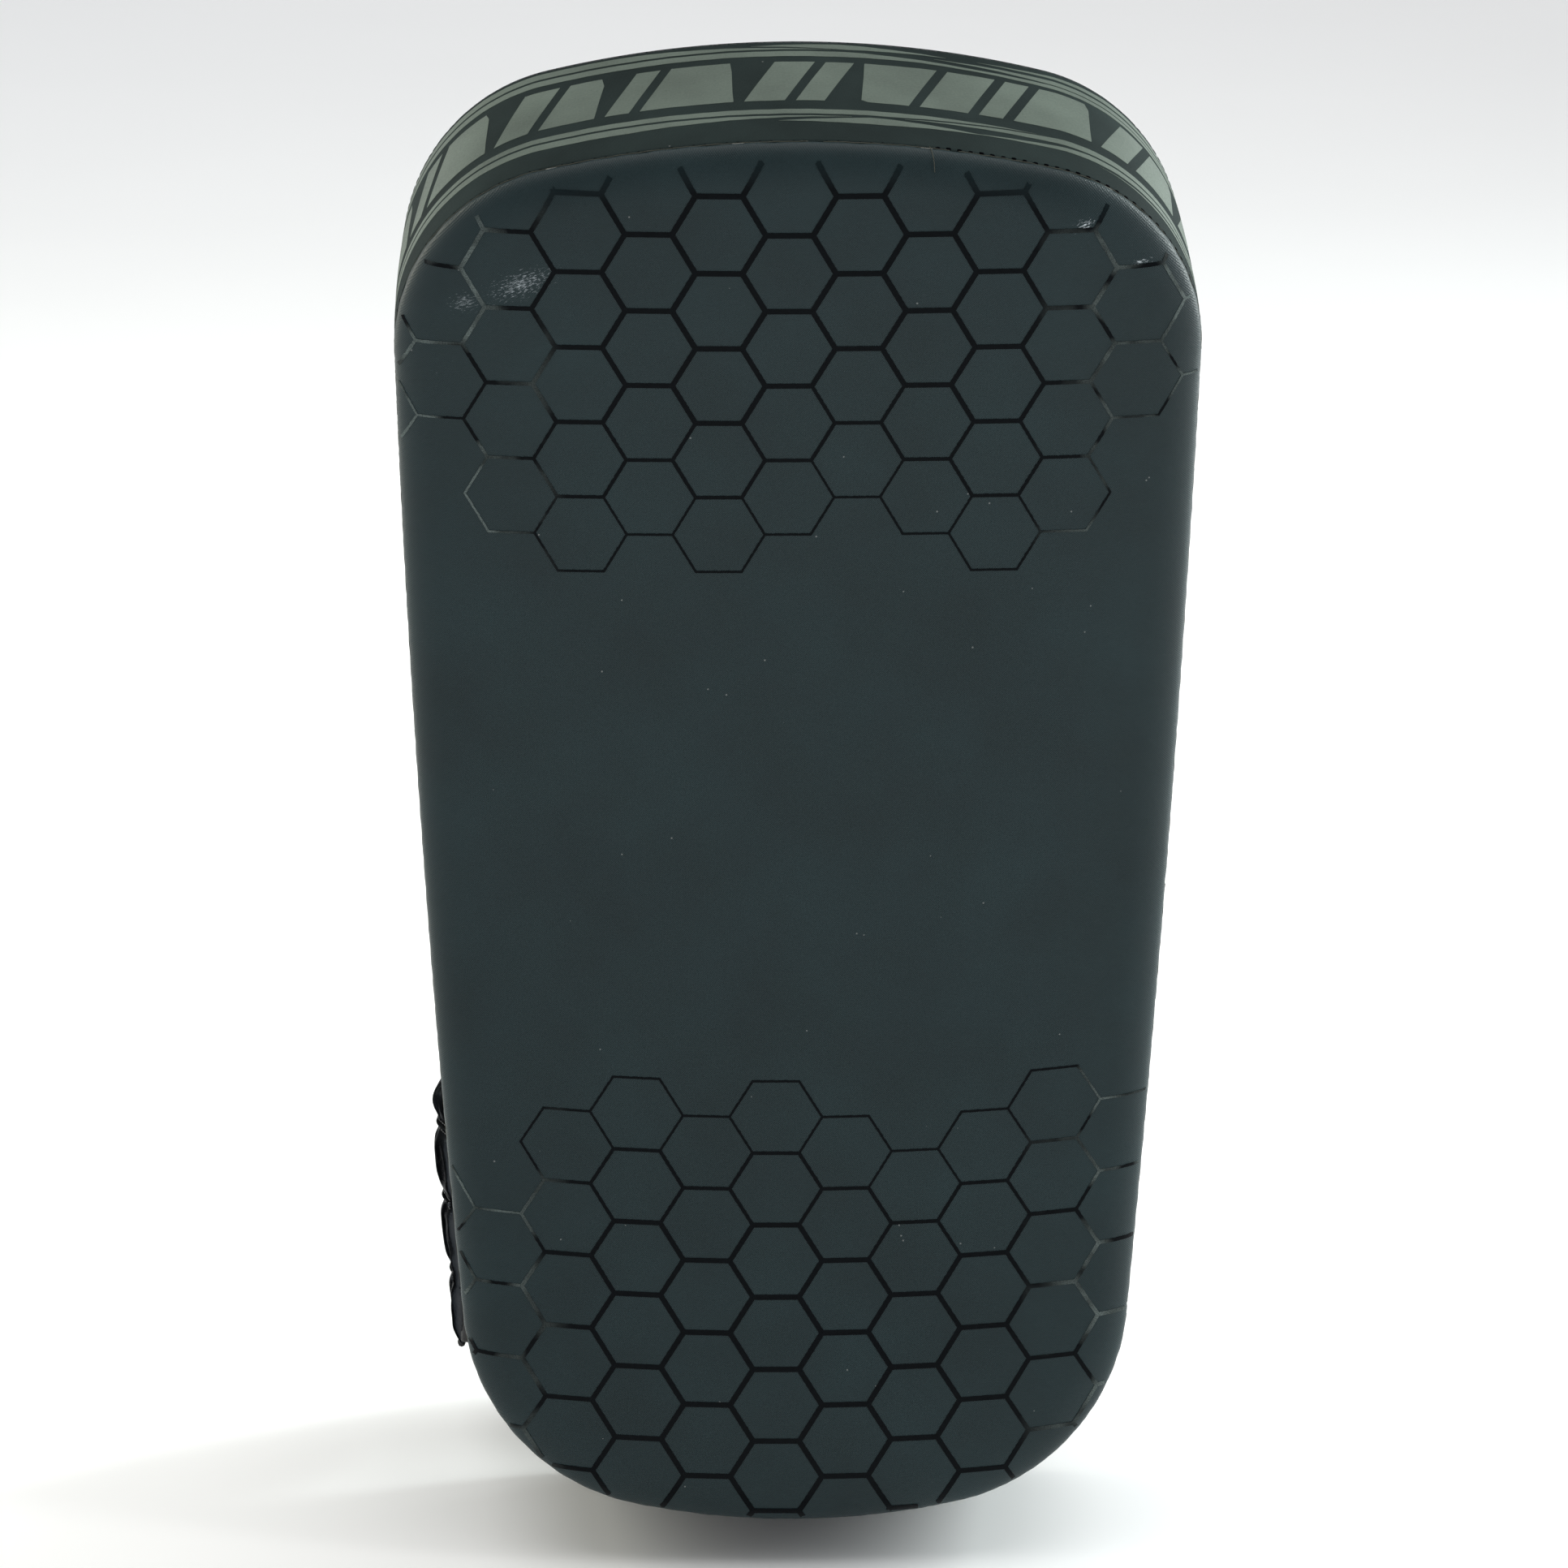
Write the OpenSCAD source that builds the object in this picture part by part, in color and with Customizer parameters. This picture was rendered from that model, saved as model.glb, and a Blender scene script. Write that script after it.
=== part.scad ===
// Curved kick shield: a bent, tapering foam slab in a sewn cover, held from behind
// by a padded forearm cuff, a forearm strap, a main grip and a webbing grab handle.
// The strike face looks along -Y, +Z is up the shield, and the origin is the middle
// of the main grip, where the hand carries it.

/* [Shield] */
// Length of the strike face, measured along its curve
face_length = 730; // [650:5:800]
// Width between the straight sides, carried up to the top end
top_width = 410; // [380:2:430]
// Width between the straight sides, carried down to the bottom end
bottom_width = 334; // [310:2:360]
// Thickness from the strike face to the back panel
thickness = 140; // [110:2:160]
// Angle that the whole face bends through, hollow on the strike side
bend_angle = 24; // [16:1:30]
// How far the top end rises in its middle
top_crown = 40; // [25:1:55]
// How far the bottom end drops in its middle
bottom_crown = 36; // [20:1:50]
// Radius of the two top corners
top_corner = 96; // [80:1:110]
// Radius of the two bottom corners
bottom_corner = 112; // [95:1:125]
// How far the long sides swell out at half height
side_swell = 4.7; // [0:0.1:8]

/* [Cover] */
// Thickness of the cover material
skin = 1.5; // [1:0.1:2.5]
// Width of the rounded border around the strike face
edge_width = 20; // [12:1:28]
// Depth at which the strike cover is sewn to the gussets
edge_depth = 14; // [10:1:20]
// Thickness of the soft foam behind the strike cover
strike_layer = 40; // [25:1:50]
// Thickness of the firm foam in the middle
impact_layer = 50; // [35:1:60]

/* [Forearm cuff and strap] */
// Height of the padded lower cuff along the shield
cuff_height = 142; // [110:2:160]
// Middle of the lower cuff, along the face from half height
cuff_at = -237; // [-245:1:-200]
// Height of the upper forearm strap along the shield
strap_height = 96; // [80:2:110]
// Middle of the upper strap, along the face from half height
strap_at = -62; // [-70:1:-50]
// How far the upper strap sits to the right of the lower cuff
strap_shift = 12; // [0:1:16]
// Thickness of the padded halves
padding = 22; // [16:1:24]
// Thickness of the closing flaps
flap = 3.2; // [2:0.1:4]
// Thickness of a hook or loop patch
tape = 1.5; // [1:0.1:2]

/* [Handles] */
// Middle of the main grip, along the face from half height
grip_at = 105; // [95:1:115]
// Height of the grip's middle above the back panel
grip_stand = 50; // [46:1:56]
// Diameter of the padded grip sleeve
grip_diameter = 36; // [34:1:38]
// Length of the padded grip sleeve
grip_length = 122; // [100:1:126]
// Middle of the grab handle, along the face from half height
grab_at = 236; // [225:1:240]
// Width of the grab handle's webbing
grab_width = 40; // [30:1:45]

/* [Hidden] */

// Colours
CHARCOAL = [0.17, 0.20, 0.21];
GRAPHITE = [0.22, 0.24, 0.24];
GLOSS_BLACK = [0.05, 0.06, 0.07];
WEB_BLACK = [0.09, 0.09, 0.10];
FOAM_GREY = [0.55, 0.56, 0.58];
FOAM_BLUE = [0.25, 0.33, 0.42];
FOAM_WHITE = [0.82, 0.82, 0.80];
GUNMETAL = [0.30, 0.31, 0.33];

// Steps along half the outline: end arc, corner arc, long side
END_STEPS = 6;
CORNER_STEPS = 8;
SIDE_STEPS = 12;
// Steps along a cushion's side
PAD_STEPS = 12;
side_from = END_STEPS + CORNER_STEPS;
side_to = side_from + SIDE_STEPS;
half_steps = side_to + CORNER_STEPS + END_STEPS;

// Gap between a layer and its neighbour
GAP = 0.3;
$fn = 48;

// ---- The bend ----
// (x, v, d) is a place on the shield: x across, v along the face, d behind the face.
bend_radius = face_length / bend_angle * 180 / PI;
function bend_turn(v) = v / bend_radius * 180 / PI;
function bent(x, v, d) = [
    x,
    (bend_radius + d) * cos(bend_turn(v)) - bend_radius,
    (bend_radius + d) * sin(bend_turn(v)),
];
origin = bent(0, grip_at, thickness + grip_stand);

// Puts its children at (0, v, d), with local X across, Y outward from the back
// and Z up along the shield.
module on_bend(v, d) {
    translate(bent(0, v, d) - origin)
        rotate([bend_turn(v), 0, 0])
            children();
}

// ---- The outline ----
// Half of it runs clockwise from the top centre to the bottom centre, as a list of
// [x, v, normal x, normal v].
side_slope = (top_width - bottom_width) / 2 / face_length;
side_lean = atan(side_slope);
middle_half_width = (top_width + bottom_width) / 4;
function end_radius(width, crown) = (width * width / 4 + crown * crown) / (2 * crown);
top_radius = end_radius(top_width, top_crown);
bottom_radius = end_radius(bottom_width, bottom_crown);
top_centre = face_length / 2 - top_radius;
bottom_centre = bottom_radius - face_length / 2;

// Centre of the corner arc that touches the long side and the end arc. End is 1 or -1.
function corner_centre(r, end_r, end_v, end) =
    let (
        b = middle_half_width - r / cos(side_lean),
        p = 1 + side_slope * side_slope,
        q = 2 * (side_slope * b - end_v),
        s = b * b + end_v * end_v - (end_r - r) * (end_r - r),
        v = (-q + end * sqrt(q * q - 4 * p * s)) / (2 * p)
    ) [side_slope * v + b, v];
top_c = corner_centre(top_corner, top_radius, top_centre, 1);
bottom_c = corner_centre(bottom_corner, bottom_radius, bottom_centre, -1);
top_turn = atan2(top_c[0], top_c[1] - top_centre);
bottom_turn = atan2(bottom_c[0], bottom_centre - bottom_c[1]);

// A point on an arc, at angle t from the end's direction. End is 1 or -1.
function arc_point(c, r, t, end) = [
    c[0] + r * sin(t),
    c[1] + end * r * cos(t),
    sin(t),
    end * cos(t),
];
function mix(a, b, k) = a + (b - a) * k;
side_start = arc_point(top_c, top_corner, 90 + side_lean, 1);
side_end = arc_point(bottom_c, bottom_corner, 90 - side_lean, -1);
half_outline = concat(
    [for (i = [0 : END_STEPS - 1])
        arc_point([0, top_centre], top_radius, top_turn * i / END_STEPS, 1)],
    [for (i = [0 : CORNER_STEPS - 1])
        arc_point(top_c, top_corner, mix(top_turn, 90 + side_lean, i / CORNER_STEPS), 1)],
    [for (i = [0 : SIDE_STEPS])
        let (k = i / SIDE_STEPS, swell = 4 * side_swell * k * (1 - k))
        mix(side_start, side_end, k) + [swell, 0, 0, 0]],
    [for (i = [1 : CORNER_STEPS])
        arc_point(bottom_c, bottom_corner, mix(90 - side_lean, bottom_turn, i / CORNER_STEPS), -1)],
    [for (i = [1 : END_STEPS])
        arc_point([0, bottom_centre], bottom_radius, bottom_turn * (1 - i / END_STEPS), -1)]
);

// A rounded rectangle as the same kind of half outline, about v = mid, with ends that
// swell a little in the middle.
end_swell = 3;
function half_pad(width, length, corner, mid) = concat(
    [[0, mid + length / 2 + end_swell, 0, 1]],
    [for (i = [0 : 4])
        arc_point([width / 2 - corner, mid + length / 2 - corner], corner, 22.5 * i, 1)],
    [for (i = [1 : PAD_STEPS - 1])
        [width / 2, mid + (length / 2 - corner) * (1 - 2 * i / PAD_STEPS), 1, 0]],
    [for (i = [0 : 4])
        arc_point([width / 2 - corner, mid - length / 2 + corner], corner, 90 - 22.5 * i, -1)],
    [[0, mid - length / 2 - end_swell, 0, -1]]
);

// Point j of the closed outline that a half outline stands for.
function mirrored(p) = [-p[0], p[1], -p[2], p[3]];
function around(half, j) =
    let (n = len(half) - 1, k = (j + 2 * n) % (2 * n))
    k <= n ? half[k] : mirrored(half[2 * n - k]);
function placed(p, inset, d) = bent(p[0] - inset * p[2], p[1] - inset * p[3], d) - origin;

// A solid closed by the rows across its first and last ring. Each ring is [inset, depth].
module bent_slab(half, rings) {
    n = len(half) - 1;
    last = (len(rings) - 1) * 2 * n;
    points = [for (r = rings) for (j = [0 : 2 * n - 1]) placed(around(half, j), r[0], r[1])];
    sides = [for (k = [0 : len(rings) - 2]) for (j = [0 : 2 * n - 1])
        let (a = k * 2 * n + j, b = k * 2 * n + (j + 1) % (2 * n))
        each [[a, b, b + 2 * n], [a, b + 2 * n, a + 2 * n]]];
    front = [for (j = [0 : n - 1])
        let (a = j, b = j + 1, c = 2 * n - j - 1, e = (2 * n - j) % (2 * n))
        each concat(j > 0 ? [[e, b, a]] : [], j < n - 1 ? [[e, c, b]] : [])];
    back = [for (f = front) [f[2] + last, f[1] + last, f[0] + last]];
    polyhedron(points = points, faces = concat(front, sides, back), convexity = 6);
}

// A wall of the outline from point j0 to point j1, between two insets and two depths.
// Its inner face is split along the same diagonals as the sides of the layers inside it.
module bent_wall(j0, j1, inset0, inset1, d0, d1) {
    corners = [[inset0, d0], [inset0, d1], [inset1, d1], [inset1, d0]];
    points = [for (j = [j0 : j1]) for (c = corners) placed(around(half_outline, j), c[0], c[1])];
    steps = j1 - j0;
    walls = [for (s = [0 : steps - 1]) for (c = [0 : 3])
        let (a = 4 * s + c, b = 4 * s + (c + 1) % 4)
        each c == 2 ? [[a, b, a + 4], [b, b + 4, a + 4]] : [[a, b, b + 4], [a, b + 4, a + 4]]];
    ends = [[3, 2, 1, 0], [for (c = [0 : 3]) 4 * steps + c]];
    polyhedron(points = points, faces = concat(walls, ends), convexity = 6);
}

// ---- Cover ----
// Rings that round the border of the strike face, in by "inside" from its surface.
function border(inside) = [for (t = [0 : 30 : 90])
    [edge_width * (1 - sin(t)) + inside * sin(t),
     edge_depth * (1 - cos(t)) + inside * cos(t)]];
function reversed(list) = [for (i = [len(list) - 1 : -1 : 0]) list[i]];

module front_cover() {
    color(CHARCOAL)
        bent_slab(half_outline, concat(border(0), reversed(border(skin))));
}

module gusset(j0, j1) {
    bent_wall(j0, j1, 0, skin, edge_depth, thickness);
}

module top_gusset() {
    color(GRAPHITE)
        gusset(-side_from, side_from);
}

module right_gusset() {
    color(CHARCOAL)
        gusset(side_from, side_to);
}

module bottom_gusset() {
    color(CHARCOAL)
        difference() {
            gusset(side_to, 2 * half_steps - side_to);
            at_vents()
                cylinder(h = 4 * skin, r = vent_barrel, center = true);
        }
}

module left_gusset() {
    color(CHARCOAL)
        gusset(2 * half_steps - side_to, 2 * half_steps - side_from);
}

module back_panel() {
    inside = skin + 0.1;
    color(CHARCOAL)
        difference() {
            bent_slab(half_outline, [[inside, thickness - skin], [inside, thickness]]);
            rivet_holes();
        }
}

// ---- Foam ----
foam_inset = skin + GAP;
strike_back = skin + strike_layer;
impact_back = strike_back + impact_layer;

module strike_foam() {
    front = border(foam_inset);
    color(FOAM_WHITE)
        bent_slab(half_outline, concat(front, [[foam_inset, strike_back]]));
}

module impact_foam() {
    color(FOAM_BLUE)
        difference() {
            bent_slab(half_outline, [[foam_inset, strike_back + GAP], [foam_inset, impact_back]]);
            at_vents()
                cylinder(h = 9, r = vent_flange + 1, center = true);
        }
}

module backing_foam() {
    back = thickness - skin - GAP;
    color(FOAM_GREY)
        difference() {
            bent_slab(half_outline, [[foam_inset, impact_back + GAP], [foam_inset, back]]);
            at_rivets()
                cylinder(h = 12, r = washer_radius + 1, center = true);
        }
}

// ---- Vents ----
vent_hole = 4;
vent_barrel = 4.6;
vent_flange = 8;
VENT_ARC = [-9, -3, 3, 9];

// Each vent's place on the bottom end, with local Z outward through the gusset.
module at_vents() {
    for (t = VENT_ARC) {
        p = arc_point([0, bottom_centre], bottom_radius, t, -1);
        on_bend(p[1], (strike_back + impact_back) / 2)
            translate([p[0], 0, 0])
                rotate([0, 180 - t, 0])
                    children();
    }
}

// A rolled eyelet: barrel through the gusset, outer flange and inner washer.
module vent_eyelets() {
    rim = 1;
    color(GUNMETAL)
        at_vents()
            rotate_extrude()
                polygon([
                    [vent_hole, -skin - rim - 0.2], [vent_flange, -skin - rim - 0.2],
                    [vent_flange, -skin - 0.2], [vent_barrel - 0.1, -skin - 0.2],
                    [vent_barrel - 0.1, 0.3], [vent_flange, 0.3],
                    [vent_flange - 0.8, rim + 0.3], [vent_hole, rim + 0.3],
                ]);
}

// ---- Forearm cushion ----
cushion_width = 118;
cushion_top = 18;
cushion_low = cuff_at - cuff_height / 2 - 12;
cushion_high = strap_at + strap_height / 2 + 12;

module forearm_cushion() {
    half = half_pad(cushion_width, cushion_high - cushion_low, 24, (cushion_high + cushion_low) / 2);
    color(WEB_BLACK)
        bent_slab(half, [
            [0, thickness + GAP], [0, thickness + 0.55 * cushion_top],
            [3, thickness + 0.85 * cushion_top], [9, thickness + cushion_top],
        ]);
}

// ---- Straps ----
// A path of arcs: each leg is [radius, turn in degrees], or [length, 0] where straight.
// Its points are [x, y, heading], in steps that all leave the same small sag.
SAG = 0.13;
function arc_steps(r, turn) = ceil(abs(turn) / acos(1 - SAG / r) / 2);
function leg(p, run, turn) =
    turn == 0
        ? [[p[0] + run * cos(p[2]), p[1] + run * sin(p[2]), p[2]]]
        : let (
            n = arc_steps(run, turn),
            side = sign(turn),
            cx = p[0] - side * run * sin(p[2]),
            cy = p[1] + side * run * cos(p[2])
        ) [for (i = [1 : n])
            let (h = p[2] + turn * i / n)
            [cx + side * run * sin(h), cy - side * run * cos(h), h]];
function legs(p, list, i = 0) =
    i == len(list)
        ? [p]
        : concat([p], legs_from(leg(p, list[i][0], list[i][1]), list, i));
function legs_from(made, list, i) =
    let (n = len(made))
    concat([for (k = [0 : 1 : n - 2]) made[k]], legs(made[n - 1], list, i + 1));
function beside(p, off) = [p[0] - off * sin(p[2]), p[1] + off * cos(p[2])];

// A strip along a path, between two offsets from it; grow thins it towards its ends.
module strip(path, low, high, height, grow = undef) {
    share = is_undef(grow) ? [for (p = path) 1] : grow;
    outer = [for (i = [0 : len(path) - 1]) beside(path[i], high * share[i])];
    inner = [for (i = [len(path) - 1 : -1 : 0]) beside(path[i], low * share[i])];
    linear_extrude(height = height, center = true)
        polygon(concat(outer, inner));
}

// The padded half springs from the left edge, bulges outward and arches over the forearm.
arch_small = 56;
arch_large = 560;
arch_turn = 17;
arch_foot = [-174.8, 4, 130];
pad_path = legs(arch_foot, [[arch_small, -120], [arch_large, -arch_turn]]);
pad_grow = [for (i = [0 : len(pad_path) - 1])
    min(0.35 + 0.17 * i, 1, 0.55 + 0.45 * (len(pad_path) - 1 - i))];
crest = legs(arch_foot, [[arch_small, -120]]);
crest_from = crest[len(crest) - 1];
arch_centre = beside(crest_from, -arch_large);

// The flap lies over the padded half and comes down to an anchor on the right.
flap_over = padding / 2 + 2 * tape + 4 * GAP + flap / 2;
flap_end = 92.8;
flap_path = legs(
    [arch_centre[0] + (arch_large + flap_over) * cos(flap_end),
     arch_centre[1] + (arch_large + flap_over) * sin(flap_end),
     flap_end - 90],
    [[arch_large + flap_over, -12], [110, -68], [60, -12], [12, 0]]
);
flap_foot = flap_path[len(flap_path) - 1];

// Stretches of the arch that the tapes cover, as headings along it.
TAPE_STEPS = 6;
function over_arch(off, from, to) = [for (i = [0 : TAPE_STEPS])
    let (a = mix(from, to, i / TAPE_STEPS))
    [arch_centre[0] + (arch_large + off) * cos(a), arch_centre[1] + (arch_large + off) * sin(a),
     a - 90]];
LOOP_SPAN = [98.5, 85.5];
HOOK_SPAN = [92.4, 85.5];

module strap_pad(height) {
    strip(pad_path, -padding / 2, padding / 2, height, pad_grow);
}

module strap_loop_tape(height) {
    strip(over_arch(padding / 2 + GAP, LOOP_SPAN[0], LOOP_SPAN[1]), 0, tape, height);
}

module strap_flap(height) {
    strip(flap_path, -flap / 2, flap / 2, height);
}

module strap_hook_tape(height) {
    strip(over_arch(flap_over - flap / 2 - GAP, HOOK_SPAN[0], HOOK_SPAN[1]), -tape, 0, height);
}

// Sewn ends, flat on the back panel: the padded half's at the left, the flap's at the right.
tab_length = 30;
tab = 2.4;
module strap_base(height) {
    translate([arch_foot[0] + 2, 0.1, -height / 2])
        cube([tab_length, tab, height]);
}

module strap_anchor(height) {
    translate([flap_foot[0] - flap / 2 - tab_length, 0.1, -height / 2])
        cube([tab_length, tab, height]);
}

// Heights of the pieces beside the padded half, as less than its own height
base_less = 4;
loop_less = 24;
flap_share = 0.82;
hook_less = 16;

module on_cuff() {
    on_bend(cuff_at, thickness)
        children();
}

module on_strap() {
    on_bend(strap_at, thickness)
        translate([strap_shift, 0, 0])
            children();
}

module lower_cuff_base() {
    color(GLOSS_BLACK)
        on_cuff()
            strap_base(cuff_height - base_less);
}

module lower_cuff_pad() {
    color(GLOSS_BLACK)
        on_cuff()
            strap_pad(cuff_height);
}

module lower_cuff_loop_tape() {
    color(WEB_BLACK)
        on_cuff()
            strap_loop_tape(cuff_height - loop_less);
}

module lower_cuff_anchor() {
    color(GLOSS_BLACK)
        on_cuff()
            strap_anchor(cuff_height * flap_share);
}

module lower_cuff_flap() {
    color(GLOSS_BLACK)
        on_cuff()
            strap_flap(cuff_height * flap_share);
}

module lower_cuff_hook_tape() {
    color(WEB_BLACK)
        on_cuff()
            strap_hook_tape(cuff_height * flap_share - hook_less);
}

module upper_strap_base() {
    color(GLOSS_BLACK)
        on_strap()
            strap_base(strap_height - base_less);
}

module upper_strap_pad() {
    color(GLOSS_BLACK)
        on_strap()
            strap_pad(strap_height);
}

module upper_strap_loop_tape() {
    color(WEB_BLACK)
        on_strap()
            strap_loop_tape(strap_height - loop_less);
}

module upper_strap_anchor() {
    color(GLOSS_BLACK)
        on_strap()
            strap_anchor(strap_height * flap_share);
}

module upper_strap_flap() {
    color(GLOSS_BLACK)
        on_strap()
            strap_flap(strap_height * flap_share);
}

module upper_strap_hook_tape() {
    color(WEB_BLACK)
        on_strap()
            strap_hook_tape(strap_height * flap_share - hook_less);
}

// ---- Handles ----
webbing = 3;
patch = 2;
foot_gap = 0.4;
grip_foot = 92;
grab_foot = 84;
grab_stand = 44;
grip_width = 30;
foot_length = 44;
rivet_shank = 2;
rivet_head = 5.5;
washer_radius = 7;
washer = 1;

// A handle's webbing rises from a foot on each side to a straight top. Each foot is
// rounded about the line that the handle swings on, so it clears its tab as it swings.
rise = 75;
handle_bend = 24;
function swing_height(width) = webbing + foot_gap + width / 2;
function handle_half(foot, stand) =
    let (
        low = webbing + foot_gap + webbing / 2,
        up = stand - low - handle_bend * (1 - cos(rise)),
        start = [-foot, low, rise],
        top = leg(start, up / sin(rise), 0)[0]
    ) concat([start], [top], leg(top, handle_bend, -rise));
module handle_webbing(at, foot, stand, width) {
    half = handle_half(foot, stand);
    path = concat(half, [for (p = reversed(half)) [-p[0], p[1], -p[2]]]);
    on_bend(at, thickness)
        intersection() {
            strip(path, -webbing / 2, webbing / 2, width);
            translate([0, swing_height(width), 0]) {
                rotate([0, 90, 0])
                    cylinder(h = 3 * foot, r = width / 2, center = true);
                translate([0, stand, 0])
                    cube([3 * foot, 2 * stand, width], center = true);
            }
        }
}

module at_feet(at, foot) {
    on_bend(at, thickness)
        for (side = [-1, 1])
            translate([side * (foot + foot_length / 2 - 2), 0, 0])
                children();
}

module at_handle_rivets(at, foot) {
    at_feet(at, foot)
        for (z = [-9, 9])
            translate([0, 0, z])
                rotate([-90, 0, 0])
                    children();
}

module at_rivets() {
    at_handle_rivets(grip_at, grip_foot)
        children();
    at_handle_rivets(grab_at, grab_foot)
        children();
}

module rivet_holes() {
    at_rivets()
        cylinder(h = 30, r = rivet_shank + 0.1, center = true);
}

module tabs(at, foot, width) {
    difference() {
        at_feet(at, foot)
            translate([-foot_length / 2, 0.1, -width / 2])
                cube([foot_length, webbing, width]);
        rivet_holes();
    }
}

module rounded_square(w, l, r) {
    square([w, l - 2 * r], center = true);
    square([w - 2 * r, l], center = true);
    for (x = [-1, 1])
        for (y = [-1, 1])
            translate([x * (w / 2 - r), y * (l / 2 - r)])
                circle(r);
}

module patches(at, foot, width) {
    side = foot_length - 10;
    difference() {
        at_feet(at, foot)
            rotate([-90, 0, 0])
                translate([0, 0, webbing + 0.2])
                    linear_extrude(patch)
                        rounded_square(side, width + 10, 5);
        rivet_holes();
    }
}

rivet_seat = webbing + patch + 0.3;
module rivets(at, foot) {
    tail = -skin - washer - 1.2;
    at_handle_rivets(at, foot)
        rotate_extrude()
            polygon([
                [0, tail], [rivet_shank + 0.8, tail], [rivet_shank + 0.8, tail + 0.7],
                [rivet_shank, tail + 0.7], [rivet_shank, rivet_seat], [rivet_head, rivet_seat],
                [rivet_head, rivet_seat + 0.7], [rivet_head * 0.7, rivet_seat + 1.8],
                [0, rivet_seat + 2.2],
            ]);
}

module washers(at, foot) {
    at_handle_rivets(at, foot)
        translate([0, 0, -skin - washer - 0.4])
            difference() {
                cylinder(h = washer, r = washer_radius);
                translate([0, 0, -1])
                    cylinder(h = washer + 2, r = rivet_shank + 0.1);
            }
}

module grip_tabs() {
    color(WEB_BLACK)
        tabs(grip_at, grip_foot, grip_width);
}

module grip_patches() {
    color(GLOSS_BLACK)
        patches(grip_at, grip_foot, grip_width);
}

module grip_rivets() {
    color(GUNMETAL)
        rivets(grip_at, grip_foot);
}

module grip_washers() {
    color(GUNMETAL)
        washers(grip_at, grip_foot);
}

module grip_webbing() {
    color(WEB_BLACK)
        handle_webbing(grip_at, grip_foot, grip_stand, grip_width);
}

// A padded tube with rounded ends, slotted for the webbing that runs through it.
module grip_sleeve() {
    r = grip_diameter / 2;
    round_end = 6;
    color(GLOSS_BLACK)
        on_bend(grip_at, thickness + grip_stand)
            difference() {
                rotate([0, 90, 0])
                    rotate_extrude()
                        polygon(concat(
                            [[0, -grip_length / 2]],
                            [for (t = [0 : 30 : 90])
                                [r - round_end * (1 - sin(t)), round_end * (1 - cos(t)) - grip_length / 2]],
                            [for (t = [90 : -30 : 0])
                                [r - round_end * (1 - sin(t)), grip_length / 2 - round_end * (1 - cos(t))]],
                            [[0, grip_length / 2]]
                        ));
                cube([grip_length + 2, webbing + 0.4, grip_width + 0.4], center = true);
            }
}

module grab_tabs() {
    color(WEB_BLACK)
        tabs(grab_at, grab_foot, grab_width);
}

module grab_patches() {
    color(GLOSS_BLACK)
        patches(grab_at, grab_foot, grab_width);
}

module grab_rivets() {
    color(GUNMETAL)
        rivets(grab_at, grab_foot);
}

module grab_washers() {
    color(GUNMETAL)
        washers(grab_at, grab_foot);
}

module grab_webbing() {
    color(WEB_BLACK)
        handle_webbing(grab_at, grab_foot, grab_stand, grab_width);
}

front_cover();
top_gusset();
right_gusset();
bottom_gusset();
left_gusset();
back_panel();
strike_foam();
impact_foam();
backing_foam();
vent_eyelets();
forearm_cushion();
lower_cuff_base();
lower_cuff_pad();
lower_cuff_loop_tape();
lower_cuff_anchor();
lower_cuff_flap();
lower_cuff_hook_tape();
upper_strap_base();
upper_strap_pad();
upper_strap_loop_tape();
upper_strap_anchor();
upper_strap_flap();
upper_strap_hook_tape();
grip_tabs();
grip_patches();
grip_rivets();
grip_washers();
grip_webbing();
grip_sleeve();
grab_tabs();
grab_patches();
grab_rivets();
grab_washers();
grab_webbing();
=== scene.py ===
import math

import bmesh
import bpy
import numpy as np
from mathutils import Matrix, Vector, kdtree


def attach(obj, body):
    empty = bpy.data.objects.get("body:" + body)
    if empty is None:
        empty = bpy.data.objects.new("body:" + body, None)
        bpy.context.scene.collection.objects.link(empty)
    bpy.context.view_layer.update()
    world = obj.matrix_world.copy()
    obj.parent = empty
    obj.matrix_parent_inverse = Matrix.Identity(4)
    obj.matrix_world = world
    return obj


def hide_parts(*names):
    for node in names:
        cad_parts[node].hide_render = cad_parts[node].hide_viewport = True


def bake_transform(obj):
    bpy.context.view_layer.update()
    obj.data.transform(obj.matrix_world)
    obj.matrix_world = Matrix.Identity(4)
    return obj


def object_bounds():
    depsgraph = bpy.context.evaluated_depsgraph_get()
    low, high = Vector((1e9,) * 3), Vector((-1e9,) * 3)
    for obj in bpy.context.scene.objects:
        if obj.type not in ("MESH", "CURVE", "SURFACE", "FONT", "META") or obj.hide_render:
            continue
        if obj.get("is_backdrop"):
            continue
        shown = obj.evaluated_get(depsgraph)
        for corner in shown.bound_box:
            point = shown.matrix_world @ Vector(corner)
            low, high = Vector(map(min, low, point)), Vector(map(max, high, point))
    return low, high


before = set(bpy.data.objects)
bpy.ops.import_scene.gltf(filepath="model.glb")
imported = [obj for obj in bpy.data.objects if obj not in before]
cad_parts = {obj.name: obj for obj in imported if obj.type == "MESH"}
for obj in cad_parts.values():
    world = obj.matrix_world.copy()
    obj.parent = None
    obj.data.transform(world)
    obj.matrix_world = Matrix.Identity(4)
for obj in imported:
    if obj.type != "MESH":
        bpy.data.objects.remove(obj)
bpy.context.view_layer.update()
scene = bpy.context.scene

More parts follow.
